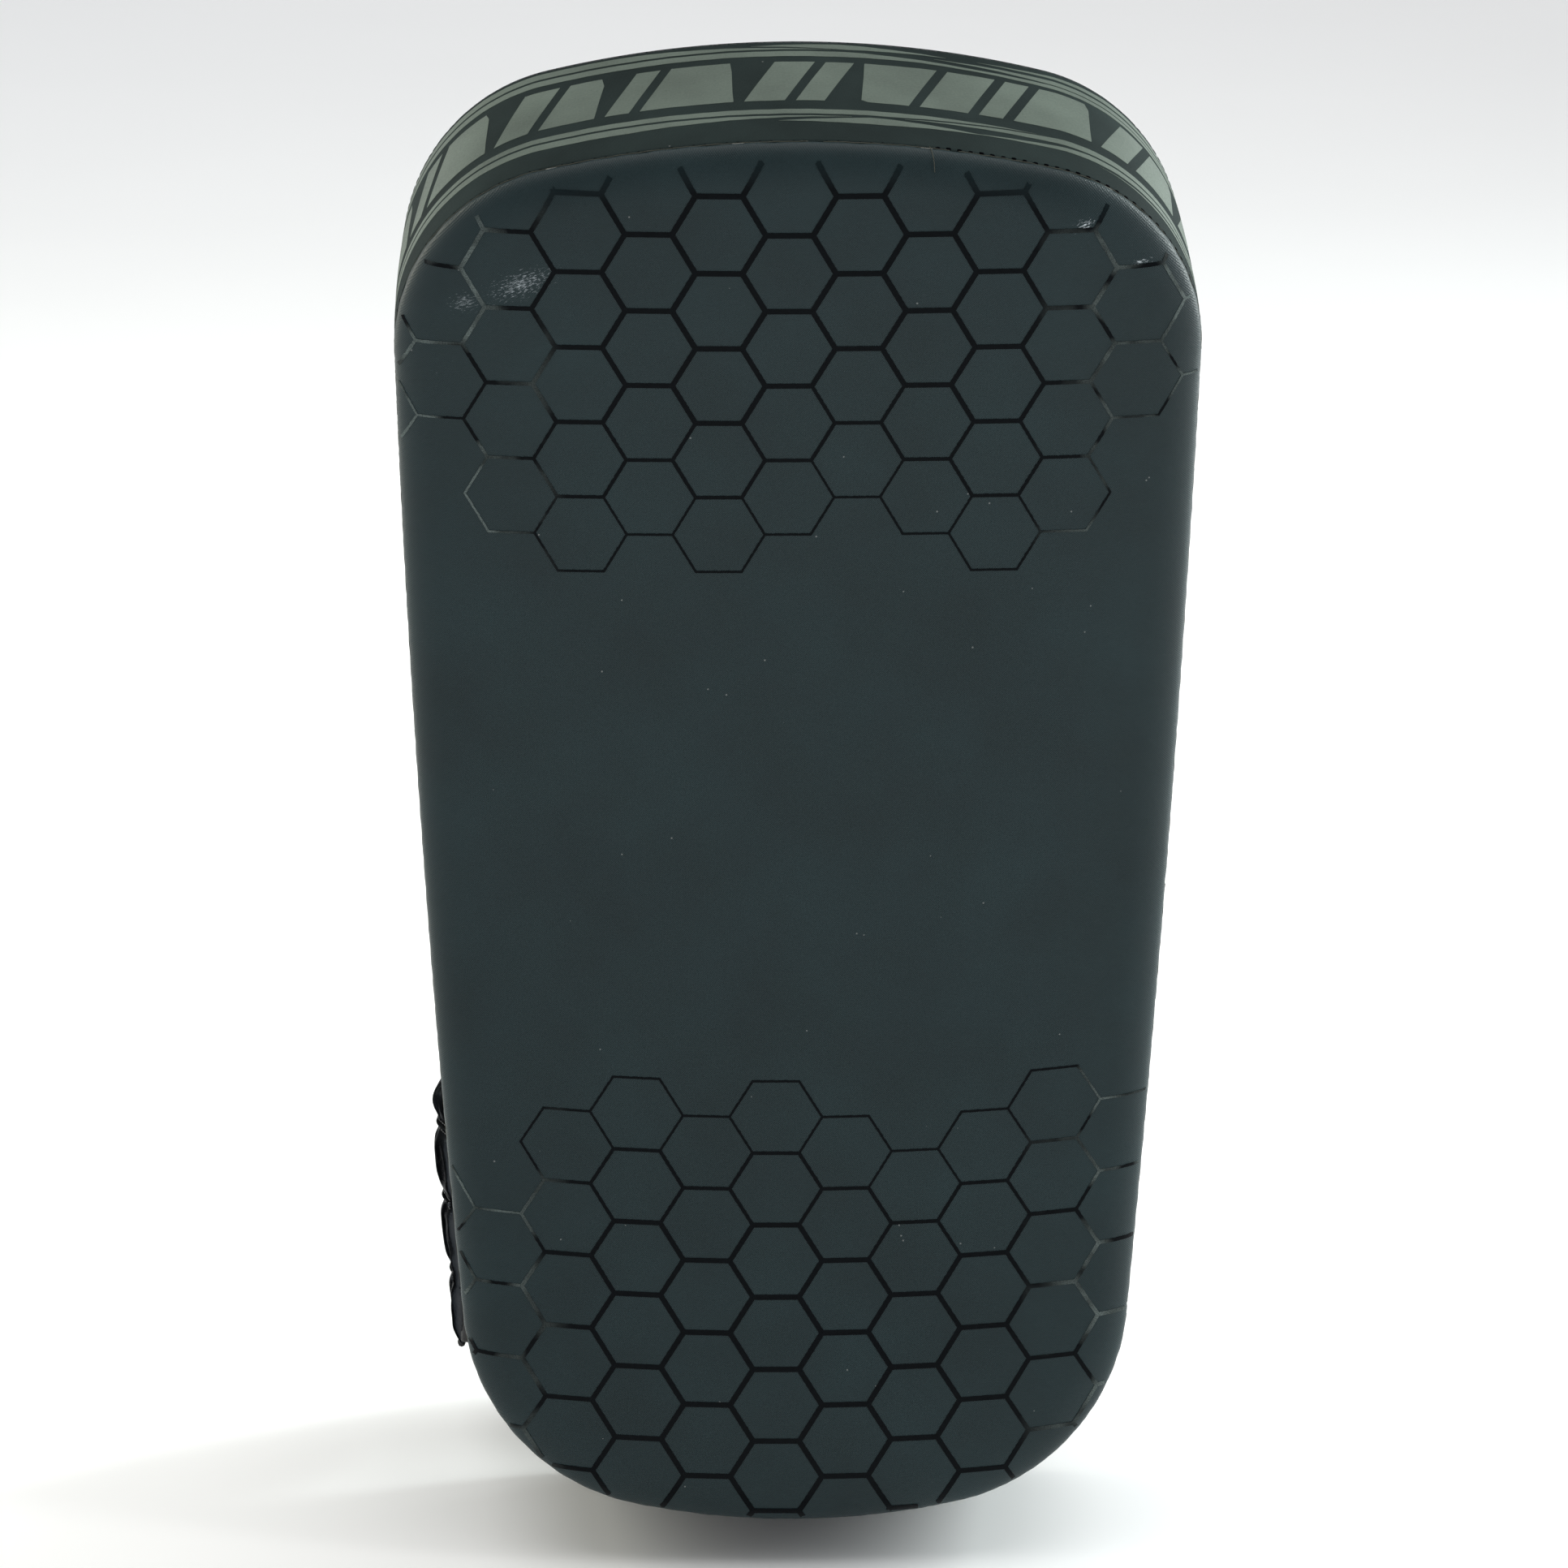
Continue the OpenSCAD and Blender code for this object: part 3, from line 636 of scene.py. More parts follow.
def make_cover():
    x0, v0, nx, nv = RIM
    n = RING_POINTS
    insets = np.array([0, 0.4, 1, 2, 3.2, 5, 7.5, 10.5, 14, 17.5, 21, 25, 30, 36, 43, 51, 60, 70, 80, CROWN_REACH])
    flat, faces = slab_sheet(insets, 60)
    s, normals = np.full(len(flat), CROWN_REACH), np.zeros((len(flat), 2))
    s[:len(insets) * n] = np.repeat(insets, n)
    normals[:len(insets) * n] = np.tile(np.stack([nx, nv], -1), (len(insets), 1))
    places = face_place(flat[:, 0], flat[:, 1], s, normals[:, 0], normals[:, 1])
    # The edge puckers along the seam, and its lip turns in behind the gusset's
    pucker = 0.16 * (np.sin(RING_RUN * math.tau / 16.0) + 0.6 * np.sin(RING_RUN * math.tau / 37.0))
    lips = [bent(x0 - s * nx, v0 - s * nv, EDGE_DEPTH + d) for s, d in ((1.9, 0.5), (0.7, -0.1))]
    puckered = bent(x0 + pucker * nx, v0 + pucker * nv, EDGE_DEPTH - 0.7) - bent(x0, v0, EDGE_DEPTH)
    places = np.concatenate(lips + [places[:n] + puckered, places[n:]])
    faces = turned(grid_faces(3, n, True)) + [tuple(i + 2 * n for i in f) for f in faces]
    surf = flat_surf(np.concatenate([np.tile(flat[:n], (2, 1)), flat]))
    piece(sheet(new_object("front_cover", places, faces, COVER, surf)), "shield", "cover_pu", "front_cover")


make_cover()


def gusset_place(u, w, lift=0.0):
    """Over a gusset: u along the outline, w from the front seam (0) to the back edge (1)."""
    x, v, nx, nv = edge_at(u)
    swell = np.sin(math.pi * np.clip(w, 0, 1))
    out = 1.1 * swell ** 0.6 + 0.35 * waves(u, w * 120, 2.0) * swell + lift
    return bent(x + out * nx, v + out * nv, EDGE_DEPTH + GUSSET_DEPTH * w)


def gusset_panel(name, u0, u1, slot, mat, step=3.0):
    depth = GUSSET_DEPTH
    w = np.concatenate([[0.0, 0.004, 0.012, 0.025, 0.045], np.linspace(0.07, 0.93, 26),
                        [0.955, 0.975, 0.988, 0.996, 1.0]])
    tuck_w = np.interp(w * depth, [0, 0.5, 1.5, depth - 1.5, depth - 0.5, depth], [-1.9, -0.7, 0, 0, -0.7, -1.9])
    u = np.concatenate([[u0, u0 + 0.5, u0 + 1.6], spaced(u0 + 4, u1 - 4, step), [u1 - 1.6, u1 - 0.5, u1]])
    tuck_u = np.interp(u, [u0, u0 + 0.6, u0 + 1.6, u1 - 1.6, u1 - 0.6, u1], [-1.8, -0.7, 0, 0, -0.7, -1.8])
    uu, ww = np.meshgrid(u, w, indexing="ij")
    pucker = 0.14 * np.sin(uu * math.tau / 16.0 + 1) * np.exp(-np.minimum(ww, 1 - ww) * depth / 5)
    places = gusset_place(uu, ww, np.minimum(tuck_w, tuck_u[:, None]) + pucker)
    surf = np.stack([uu, ww * depth, 0 * uu], -1) * MM
    piece(sheet(new_object(name, places, turned(grid_faces(len(u), len(w))), mat, surf)), "shield", slot, name)


def spaced(start, stop, step):
    return np.linspace(start, stop, max(2, int(math.ceil(abs(stop - start) / step)) + 1))


gusset_panel("top_gusset", -SIDE_TOP, SIDE_TOP, "printed_pu", GUSSET, 2.6)
gusset_panel("right_gusset", SIDE_TOP, SIDE_LOW, "cover_pu", SIDE)
gusset_panel("bottom_gusset", SIDE_LOW, 2 * HALF - SIDE_LOW, "cover_pu", SIDE)
gusset_panel("left_gusset", 2 * HALF - SIDE_LOW, 2 * HALF - SIDE_TOP, "cover_pu", SIDE)


def make_back():
    insets = [1.9, 0.6, 0.15, 1.2, 3, 6, 12, 22, 36, 56, 76]
    rise = [-0.9, -0.9, -0.3, 0.1, 0, -0.1]
    flat, faces = slab_sheet(insets, 40)
    d = np.full(len(flat), THICKNESS)
    d[:len(rise) * RING_POINTS] += np.repeat(rise, RING_POINTS)
    obj = new_object("back_panel", bent(flat[:, 0], flat[:, 1], d), turned(faces), BACK, flat_surf(flat))
    piece(sheet(obj), "shield", "cover_pu", "back_panel")


make_back()


# ---- Thin raised print ----
class Prisms:
    """Thin closed strips laid on a surface, gathered into one piece. An end left open meets another strip."""

    def __init__(self):
        self.verts, self.faces, self.surf, self.count = [], [], [], 0

    def add(self, top, low, surf, open0=False, open1=False):
        n, m = top.shape[:2]
        base, size = self.count, n * m
        self.verts += [top.reshape(-1, 3), low.reshape(-1, 3)]
        self.surf += [surf.reshape(-1, 3)] * 2
        self.faces += grid_faces(n, m, first=base) + turned(grid_faces(n, m, first=base + size))
        for i in range(n - 1):
            a, b = base + i * m, base + (i + 1) * m
            self.faces.append((a, b, b + size, a + size))
            a, b = a + m - 1, b + m - 1
            self.faces.append((b, a, a + size, b + size))
        for row, skip, flip in ((0, open0, 1), (n - 1, open1, -1)):
            for j in range(0 if skip else m - 1):
                a, b = base + row * m + j, base + row * m + j + 1
                self.faces.append((a, a + size, b + size, b)[::flip])
        self.count += 2 * size

    def build(self, name, mat):
        return new_object(name, np.concatenate(self.verts), self.faces, mat, np.concatenate(self.surf) * MM, False)


def weld(obj, distance):
    """Joins strips that meet, and closes the small holes where three of them do."""
    modifier(obj, "WELD", merge_threshold=distance)
    apply_modifiers(obj)
    mesh = bmesh.new()
    mesh.from_mesh(obj.data)
    bmesh.ops.holes_fill(mesh, edges=[e for e in mesh.edges if e.is_boundary], sides=8)
    mesh.to_mesh(obj.data)
    mesh.free()


INK_LIFT, INK_ROOT = 0.22, -0.25
LINE_POINTS = 19


def hexagon_lines(name, x0, pitch, v0, row, bow, rims, up, rows):
    """The outlines of a field of hexagons: rims gives each column's innermost edge."""
    edges = {}

    def corner(k, side, m):
        x = x0 + pitch * k + side * pitch / 3
        return np.array((x, v0 - row * m + bow * (x / 100) ** 2))

    for k, rim in rims.items():
        for low in range(rim, rows, -2 * up):
            high, mid = low - 2 * up, low - up
            loop = [(k, -1, high), (k, 1, high), (k + 1, -1, mid), (k, 1, low), (k, -1, low), (k - 1, 1, mid)]
            for ends in zip(loop, loop[1:] + loop[:1]):
                key = tuple(sorted(ends))
                edges[key] = max(edges.get(key, 0), abs(low - rim) // 2)

    # Lines are wider away from the field's rim, and thinner again towards the sides
    around = {}
    for (a, b), depth in edges.items():
        pa, pb = corner(*a), corner(*b)
        deep = smoothstep((depth + 0.5) / 3.2)
        aside = smoothstep((abs((pa[0] + pb[0]) / 2) - 55) / 115)
        h = (1.05 + 1.75 * deep * (1 - 0.42 * aside)) / 2
        d = (pb - pa) / np.linalg.norm(pb - pa)
        around.setdefault(a, []).append((d, h, (a, b)))
        around.setdefault(b, []).append((-d, h, (a, b)))
    mitres = {}
    for key, found in around.items():
        p = corner(*key)
        found.sort(key=lambda f: math.atan2(f[0][1], f[0][0]))
        for i, (d, h, edge) in enumerate(found):
            if len(found) == 1:
                n = np.array([-d[1], d[0]]) * h
                mitres[key, edge] = (p + n, p, p - n)
                continue
            e, g, _ = found[(i + 1) % len(found)]
            left = p + (d * g + e * h) / (d[0] * e[1] - d[1] * e[0])
            e, g, _ = found[i - 1]
            right = p + (e * h + d * g) / (e[0] * d[1] - e[1] * d[0])
            mitres[key, edge] = (left, p, right)

    out = Prisms()
    n = LINE_POINTS
    for number, (a, b) in enumerate(sorted(edges)):
        start, end = np.array(mitres[a, (a, b)]), np.array(mitres[b, (a, b)])[::-1]
        t = np.linspace(0, 1, n)[:, None, None]
        flat = start[None] * (1 - t) + end[None] * t
        across = flat[:, 0] - flat[:, 2]
        width = np.linalg.norm(across, axis=1, keepdims=True)
        # Ragged edges, fading out at the mitres
        inner = np.sin(np.linspace(0, math.pi, n))[:, None] ** 0.3
        k = np.arange(n)[:, None]
        rag = 0.10 * np.sin(k * 2.4 + number * 1.7) + 0.07 * np.sin(k * 5.1 + number * 2.9)
        rag = rag * inner * np.clip(1.7 - width / 2.2, 0.35, 1)
        flat[:, 0] += across / width * rag
        flat[:, 2] += across / width * rag * 0.7 * np.cos(k * 1.3 + number)
        s, nx, nv = inside(flat[..., 0], flat[..., 1])
        keep = np.all(s > 0.9 + 4.6 * np.clip(nv, 0, 1) ** 2, axis=1)
        if keep.sum() < 2:
            continue
        first, last = np.argmax(keep), n - 1 - np.argmax(keep[::-1])
        flat, s, nx, nv = (q[first:last + 1] for q in (flat, s, nx, nv))
        top, low = (face_place(flat[..., 0], flat[..., 1], s, nx, nv, lift) for lift in (INK_LIFT, INK_ROOT))
        surf = np.concatenate([flat, np.zeros(flat.shape[:2] + (1,))], -1)
        out.add(top, low, surf, first == 0 and len(around[a]) > 1, last == n - 1 and len(around[b]) > 1)
    obj = out.build(name, INK)
    weld(obj, 0.00001)
    piece(obj, "shield", "cover_pu")


hexagon_lines("upper_hexagons", -5.2, 34.35, 322.3, 19.75, 0.8,
              {-6: 6, -5: 5, -4: 8, -3: 9, -2: 8, -1: 9, 0: 8, 1: 7, 2: 8, 3: 9, 4: 8, 5: 5, 6: 4}, 1, -5)
hexagon_lines("lower_hexagons", -10.5, 35.8, -128.0, 19.25, 3.3,
              {-5: 3, -4: 4, -3: 1, -2: 0, -1: 1, 0: 0, 1: 1, 2: 2, 3: 1, 4: 0, 5: 1}, -1, 15)


def blade(out, u0, u1, w0, w1, tip0=None, tip1=None, lean=0.0):
    """A strip of print on the gusset from u0 to u1 and w0 to w1. A tip is (length, share): that end
    narrows to a point at that share of the width. Lean slants both ends, in millimetres."""
    n = max(3, int((u1 - u0) / 4) + 1)
    m = max(2, int((w1 - w0) * GUSSET_DEPTH / 4) + 1)
    u = np.linspace(u0, u1, n)
    low, high = np.full(n, w0), np.full(n, w1)
    for tip, run in ((tip0, u - u0), (tip1, u1 - u)):
        if tip:
            k = np.clip(run / tip[0], 0.02, 1)
            at = w0 + (w1 - w0) * tip[1]
            low, high = at + (low - at) * k, at + (high - at) * k
    k = np.linspace(0, 1, m)[None, :]
    w = low[:, None] * (1 - k) + high[:, None] * k
    uu = u[:, None] + lean * (w - (w0 + w1) / 2) / (w1 - w0)
    w = w + 0.0016 * np.sin(uu / 3.1) * np.sin(uu / 7.7)
    surf = np.stack([uu, w * GUSSET_DEPTH, 0 * uu], -1)
    out.add(gusset_place(uu, w, 0.15), gusset_place(uu, w, -0.2), surf)


def gusset_print():
    out = Prisms()
    end = SIDE_TOP - 3
    # Front stripes, then the back ones
    for stripe in (
            (-end, 118, 0.250, 0.292, None, (70, 0.9)), (-end, 26, 0.178, 0.232, None, (110, 1.0)),
            (-10, 92, 0.168, 0.228, (46, 0.3), (50, 0.2)), (84, end, 0.180, 0.222, (60, 0.0)),
            (52, end, 0.238, 0.285, (80, 0.0)), (150, end, 0.130, 0.160, (60, 0.9)),
            (-end, 96, 0.826, 0.880, None, (70, 0.1)), (-end, 18, 0.900, 0.955, None, (100, 0.0)),
            (-22, 76, 0.902, 0.965, (50, 0.6), (60, 0.2)), (70, end, 0.845, 0.885, (60, 1.0)),
            (92, end, 0.905, 0.950, (70, 0.3)), (40, end, 0.800, 0.835, (90, 1.0))):
        blade(out, *stripe)
    # A run of slanted shards between them, the wide ones drawn out to a point on one side
    u = -end + 14
    for number, width in enumerate((30, 12, 40, 18, 28, 12, 46, 20, 14, 36, 24, 12, 40, 16, 30, 14, 34, 20)):
        if u + width > end - 14:
            break
        tips = [None, None]
        if width > 26:
            tips[1 - number % 2] = (width * 0.35, float(number % 2))
        blade(out, u, u + width, 0.375, 0.765, *tips, 16)
        u += width + 5.5
    out.faces = turned(out.faces)
    piece(out.build("gusset_print", PRINT), "shield", "printed_pu")


gusset_print()


# ---- Sewing ----
def tube(name, points, radius, mat, sides=8, closed=False):
    """A round cord along points; its radius is in millimetres."""
    points = np.asarray(points)
    n = len(points)
    t = np.roll(points, -1, 0) - np.roll(points, 1, 0) if closed else np.gradient(points, axis=0)
    t /= np.linalg.norm(t, axis=1, keepdims=True)
    o = np.array([0.0, 1.0, 0.0]) - t * t[:, 1:2]
    weak = np.linalg.norm(o, axis=1) < 0.25
    o[weak] = np.array([1.0, 0, 0]) - t[weak] * t[weak, 0:1]
    o /= np.linalg.norm(o, axis=1, keepdims=True)
    b = np.cross(t, o)
    a = np.linspace(0, math.tau, sides, endpoint=False)[None, :, None]
    verts = points[:, None] + (o[:, None] * np.cos(a) + b[:, None] * np.sin(a)) * radius * MM
    if closed:
        faces = [tuple(i % (n * sides) for i in f) for f in grid_faces(n + 1, sides, True)]
    else:
        faces = tube_faces(n, sides)
    return new_object(name, verts, faces, mat)


STITCH_PROFILE = ((-0.5, 0.35), (-0.36, 0.86), (0.0, 1.0), (0.36, 0.86), (0.5, 0.35))
STITCH_SIDES = 6


def capsules(name, centres, along, out_dir, length, radius, mat=None, flat=0.6):
    """Short round-ended stitches, each lying along its own direction; length and radius in millimetres."""
    verts, faces = [], []
    for c, t, o in zip(centres, along, out_dir):
        t = t / np.linalg.norm(t)
        o = o - t * (o @ t)
        o = o / np.linalg.norm(o)
        b = np.cross(t, o)
        faces += tube_faces(len(STITCH_PROFILE), STITCH_SIDES, len(verts))
        for k, r in STITCH_PROFILE:
            for j in range(STITCH_SIDES):
                a = math.tau * j / STITCH_SIDES
                spoke = b * math.cos(a) + o * math.sin(a) * flat
                verts.append(c + t * k * length * MM + spoke * r * radius * MM)
    return new_object(name, verts, turned(faces), mat or THREAD)


def outline_row(name, place, radius, lift):
    """Stitches all round the outline, where place(u, lift) is a point that far off the surface."""
    pitch = 4.6
    u = np.arange(-HALF, HALF, pitch)
    along, out = place(u + 0.5, lift) - place(u - 0.5, lift), place(u, 1.0) - place(u, 0.0)
    piece(capsules(name, place(u, lift), along, out, pitch * 0.72, radius), "shield", "thread")


def back_edge(u, lift):
    x, v, nx, nv = edge_at(u)
    return bent(x - 4.2 * nx, v - 4.2 * nv, THICKNESS + lift)


outline_row("back_seam_stitches", lambda u, lift: gusset_place(u, 123.2 / GUSSET_DEPTH, lift), 0.38, 0.05)
outline_row("back_panel_stitches", back_edge, 0.42, 0.06)


def front_seam():
    """Needle holes, drawn as near-black capsules that paint the holes' shade, thread bars and a few pale nicks where
    the cover meets the gussets.
    """
    def place(u, w, lift):
        return gusset_place(u, w / GUSSET_DEPTH, lift)

    wide, slim, bars, nicks, lips = [], [], [], [], [[]]
    for number, u in enumerate(np.arange(-HALF, HALF, 5.4)):
        w = 1.7 + 0.25 * math.sin(number * 2.1)
        p = place(u, w, -0.2)
        t = place(u + 0.5, w, 0.0) - place(u - 0.5, w, 0.0)
        o = place(u, w, 1.0) - p
        across = place(u, w + 0.5, 0.0) - place(u, w - 0.5, 0.0)
        # The thread has drawn the holes open round the top's corners; there the capsules that paint their shade are
        # wider
        strained = 62 < u < 330 or -330 < u < -225
        (wide if strained else slim).append((p, t, o))
        bars.append((place(u, -0.4, -0.9), across, o))
        if number % 17 == 9:
            nicks.append((place(u, -0.2, -0.2), t, o))
    for name, found, length, radius, mat, flat in (
            ("seam_holes_wide", wide, 2.5, 1.25, HOLE_SHADE, 0.3), ("seam_holes", slim, 1.5, 0.5, HOLE_SHADE, 0.3),
            ("seam_bars", bars, 2.6, 0.3, THREAD, 0.6), ("seam_nicks", nicks, 6.0, 0.28, PALE_THREAD, 0.5)):
        piece(capsules(name, *zip(*found), length, radius, mat, flat), "shield", "thread")
    # The cover's cut edge shows as a fine pale line, broken here and there
    for u in np.arange(-HALF, HALF, 1.5):
        if math.sin(u * 0.19) + math.sin(u * 0.083 + 1) > 1.72 and lips[-1]:
            lips.append([])
        lips[-1].append(place(u, 0.1 + 0.12 * math.sin(u * 0.9), -0.1 + 0.1 * math.sin(u * 0.41)))
    for number, line in enumerate(q for q in lips if len(q) > 3):
        piece(tube(f"cut_edge_{number}", line, 0.24, LIP, 6), "shield", "thread")
    # One loose thread end hangs from the seam
    t = np.linspace(0, 1, 12)
    x, v = 62.9 + 2.6 * t + 0.5 * np.sin(t * 4), 362.4 - 9.5 * t
    hang = face_place(x, v, *inside(x, v), 0.35 + 1.2 * t * (1 - t))
    piece(tube("loose_thread", hang, 0.2, LIP, 6), "shield", "thread")


front_seam()


# ---- Straps, pads and handles on the back ----
def arcs(start, legs, step=4.0):
    """(x, y, heading, run) along arcs of (radius, turn in degrees) or straights of (length, 0)."""
    x, y, h = start[0], start[1], math.radians(start[2])
    out, run = [(x, y, h, 0.0)], 0.0
    for size, turn in legs:
        a = math.radians(turn)
        length = abs(a) * size if turn else size
        n = max(1, int(math.ceil(length / step)), int(math.ceil(abs(turn) / 15)))
        side = math.copysign(1, a)
        cx, cy = x - side * size * math.sin(h), y + side * size * math.cos(h)
        for k in (i / n for i in range(1, n + 1)):
            if turn:
                g = h + a * k
                out.append((cx + side * size * math.sin(g), cy - side * size * math.cos(g), g, run + length * k))
            else:
                out.append((x + size * k * math.cos(h), y + size * k * math.sin(h), h, run + length * k))
        x, y, h, _ = out[-1]
        run += length
    return np.array(out)


def drawn_in(run, z):
    """The lower cuff's padded side is drawn in towards its lower end, so it follows the face's edge."""
    down = np.clip(0.5 - z / CUFF_HEIGHT, 0, 1)
    return (3.0 + 11.0 * down**1.6) * smoothstep((run - 4) / 26) * smoothstep((150 - run) / 70)


def swept(course, run, z, off):
    """Place at run along a course, off to its left, and z along the shield.
    A course is (place along the back, shift across it, path)."""
    at, shift, path = course
    x, y, h = (np.interp(run, path[:, 3], path[:, k]) for k in range(3))
    aside = drawn_in(run, z) if path is PAD_PATH and at == CUFF_AT else 0.0
    return wrap(at, x - off * np.sin(h) + shift + aside, y + off * np.cos(h), z)


def sweep(name, course, z, off, mat, runs=None):
    """A closed strip: a loop of (z, off) carried along the course. off may vary with the run."""
    runs = course[2][:, 3] if runs is None else runs
    run, z, off = np.broadcast_arrays(runs[:, None], z, off)
    surf = np.stack([run, z, off], -1) * MM
    return new_object(name, swept(course, run, z, off), tube_faces(*z.shape), mat, surf)


def strap_section(width, thick, hem, hem_thick):
    """A flat strap's outline, with a turned hem along both edges."""
    e, t, w = hem_thick / 2, thick / 2, width / 2
    top = [(-w, 0.3), (-w + 0.5, 0.75), (-w + 1.6, 1.0), (-w + hem, 1.0)]
    z = [p[0] for p in top] + [-w + hem + 0.7, *np.linspace(-w + hem + 6, w - hem - 6, 12), w - hem - 0.7]
    o = [p[1] * e for p in top] + [t] * 14
    z, o = np.array(z + [-p[0] for p in top[::-1]]), np.array(o + [p[1] * e for p in top[::-1]])
    return np.concatenate([z, z[::-1]]), np.concatenate([o, -o[::-1]])


def sew(name, join, course, runs, z, off, side=1, pitch=4.2, radius=0.38):
    """Stitches along a course at a fixed z, or along z where runs is one value."""
    runs, z = np.broadcast_arrays(np.asarray(runs, float), np.asarray(z, float))
    p, q = swept(course, runs, z, off), swept(course, runs, z, off + side)
    join(capsules(name, p, np.gradient(p, axis=0), q - p, pitch * 0.7, radius), "thread")


def inflate(obj, held, pressure, cap, frames=20, grow=0.05):
    """Cloth under pressure, held along its seams; no point moves more than cap millimetres."""
    mesh = obj.data

    def points(mesh):
        co = np.empty(len(mesh.vertices) * 3)
        mesh.vertices.foreach_get("co", co)
        return co.reshape(-1, 3)

    rest = points(mesh)
    group = obj.vertex_groups.new(name="held")
    group.add([int(i) for i in np.nonzero(held.reshape(-1))[0]], 1.0, "REPLACE")
    cloth = obj.modifiers.new("cloth", "CLOTH")
    s = cloth.settings
    s.quality = 6
    s.mass = 0.25
    s.tension_stiffness = s.compression_stiffness = 12
    s.shear_stiffness = 4
    s.bending_stiffness = 0.25
    s.vertex_group_mass = "held"
    s.use_pressure = True
    s.uniform_pressure_force = pressure
    s.shrink_min = -grow
    s.effector_weights.gravity = 0
    cloth.point_cache.frame_start = 1
    cloth.point_cache.frame_end = frames
    for f in range(1, frames + 1):
        scene.frame_set(f)
    evaluated = obj.evaluated_get(bpy.context.evaluated_depsgraph_get())
    step = points(evaluated.data) - rest
    size = np.linalg.norm(step, axis=1, keepdims=True)
    limit = cap * MM
    step *= limit * np.tanh(size / limit) / np.maximum(size, 1e-9)
    obj.modifiers.remove(cloth)
    obj.vertex_groups.clear()
    mesh.vertices.foreach_set("co", (rest + step).reshape(-1))
    mesh.update()
    scene.frame_set(1)


# The arch: the padded half comes off the base on the left, and the flap closes over it from the right
ARCH_FOOT = (-174.8, 4.0, 130.0)
ARCH_R = 560.0
ARCH_BEND = (56, -120)
FLAP_THICK = 2.6
TAPE_THICK = 1.5
PAD_PATH = arcs(ARCH_FOOT, [ARCH_BEND, (ARCH_R, -17)])
crest_x, crest_y, crest_h = arcs(ARCH_FOOT, [ARCH_BEND])[-1][:3]
ARCH_CENTRE = (crest_x + ARCH_R * math.sin(crest_h), crest_y - ARCH_R * math.cos(crest_h))
FLAP_OFF = PADDING / 2 + 3.0 + 1.2 + 1.6
FLAP_START = (ARCH_CENTRE[0] + (ARCH_R + FLAP_OFF) * math.cos(math.radians(92.8)),
              ARCH_CENTRE[1] + (ARCH_R + FLAP_OFF) * math.sin(math.radians(92.8)), 2.8)
FLAP_LEGS = [(ARCH_R + FLAP_OFF, -12), (110, -68), (60, -12), (12, 0)]
FLAP_PATH = arcs(FLAP_START, FLAP_LEGS + [(2.5, -90), (28, 0)], 3.0)
FLAP_FOOT_X = arcs(FLAP_START, FLAP_LEGS)[-1][0]
TAPE_RUN = math.radians(10.0) * ARCH_R


def quilt(z, seams):
    """1 on the crown of a lobe and 0 along each sewn channel."""
    out = np.zeros_like(z)
    for low, high in seams:
        t = np.clip((z - low) / (high - low), 0, 1)
        out = np.maximum(out, np.where((z > low) & (z < high), (1 - np.abs(2 * t - 1) ** 2.6) ** 0.5, 0))
    return out


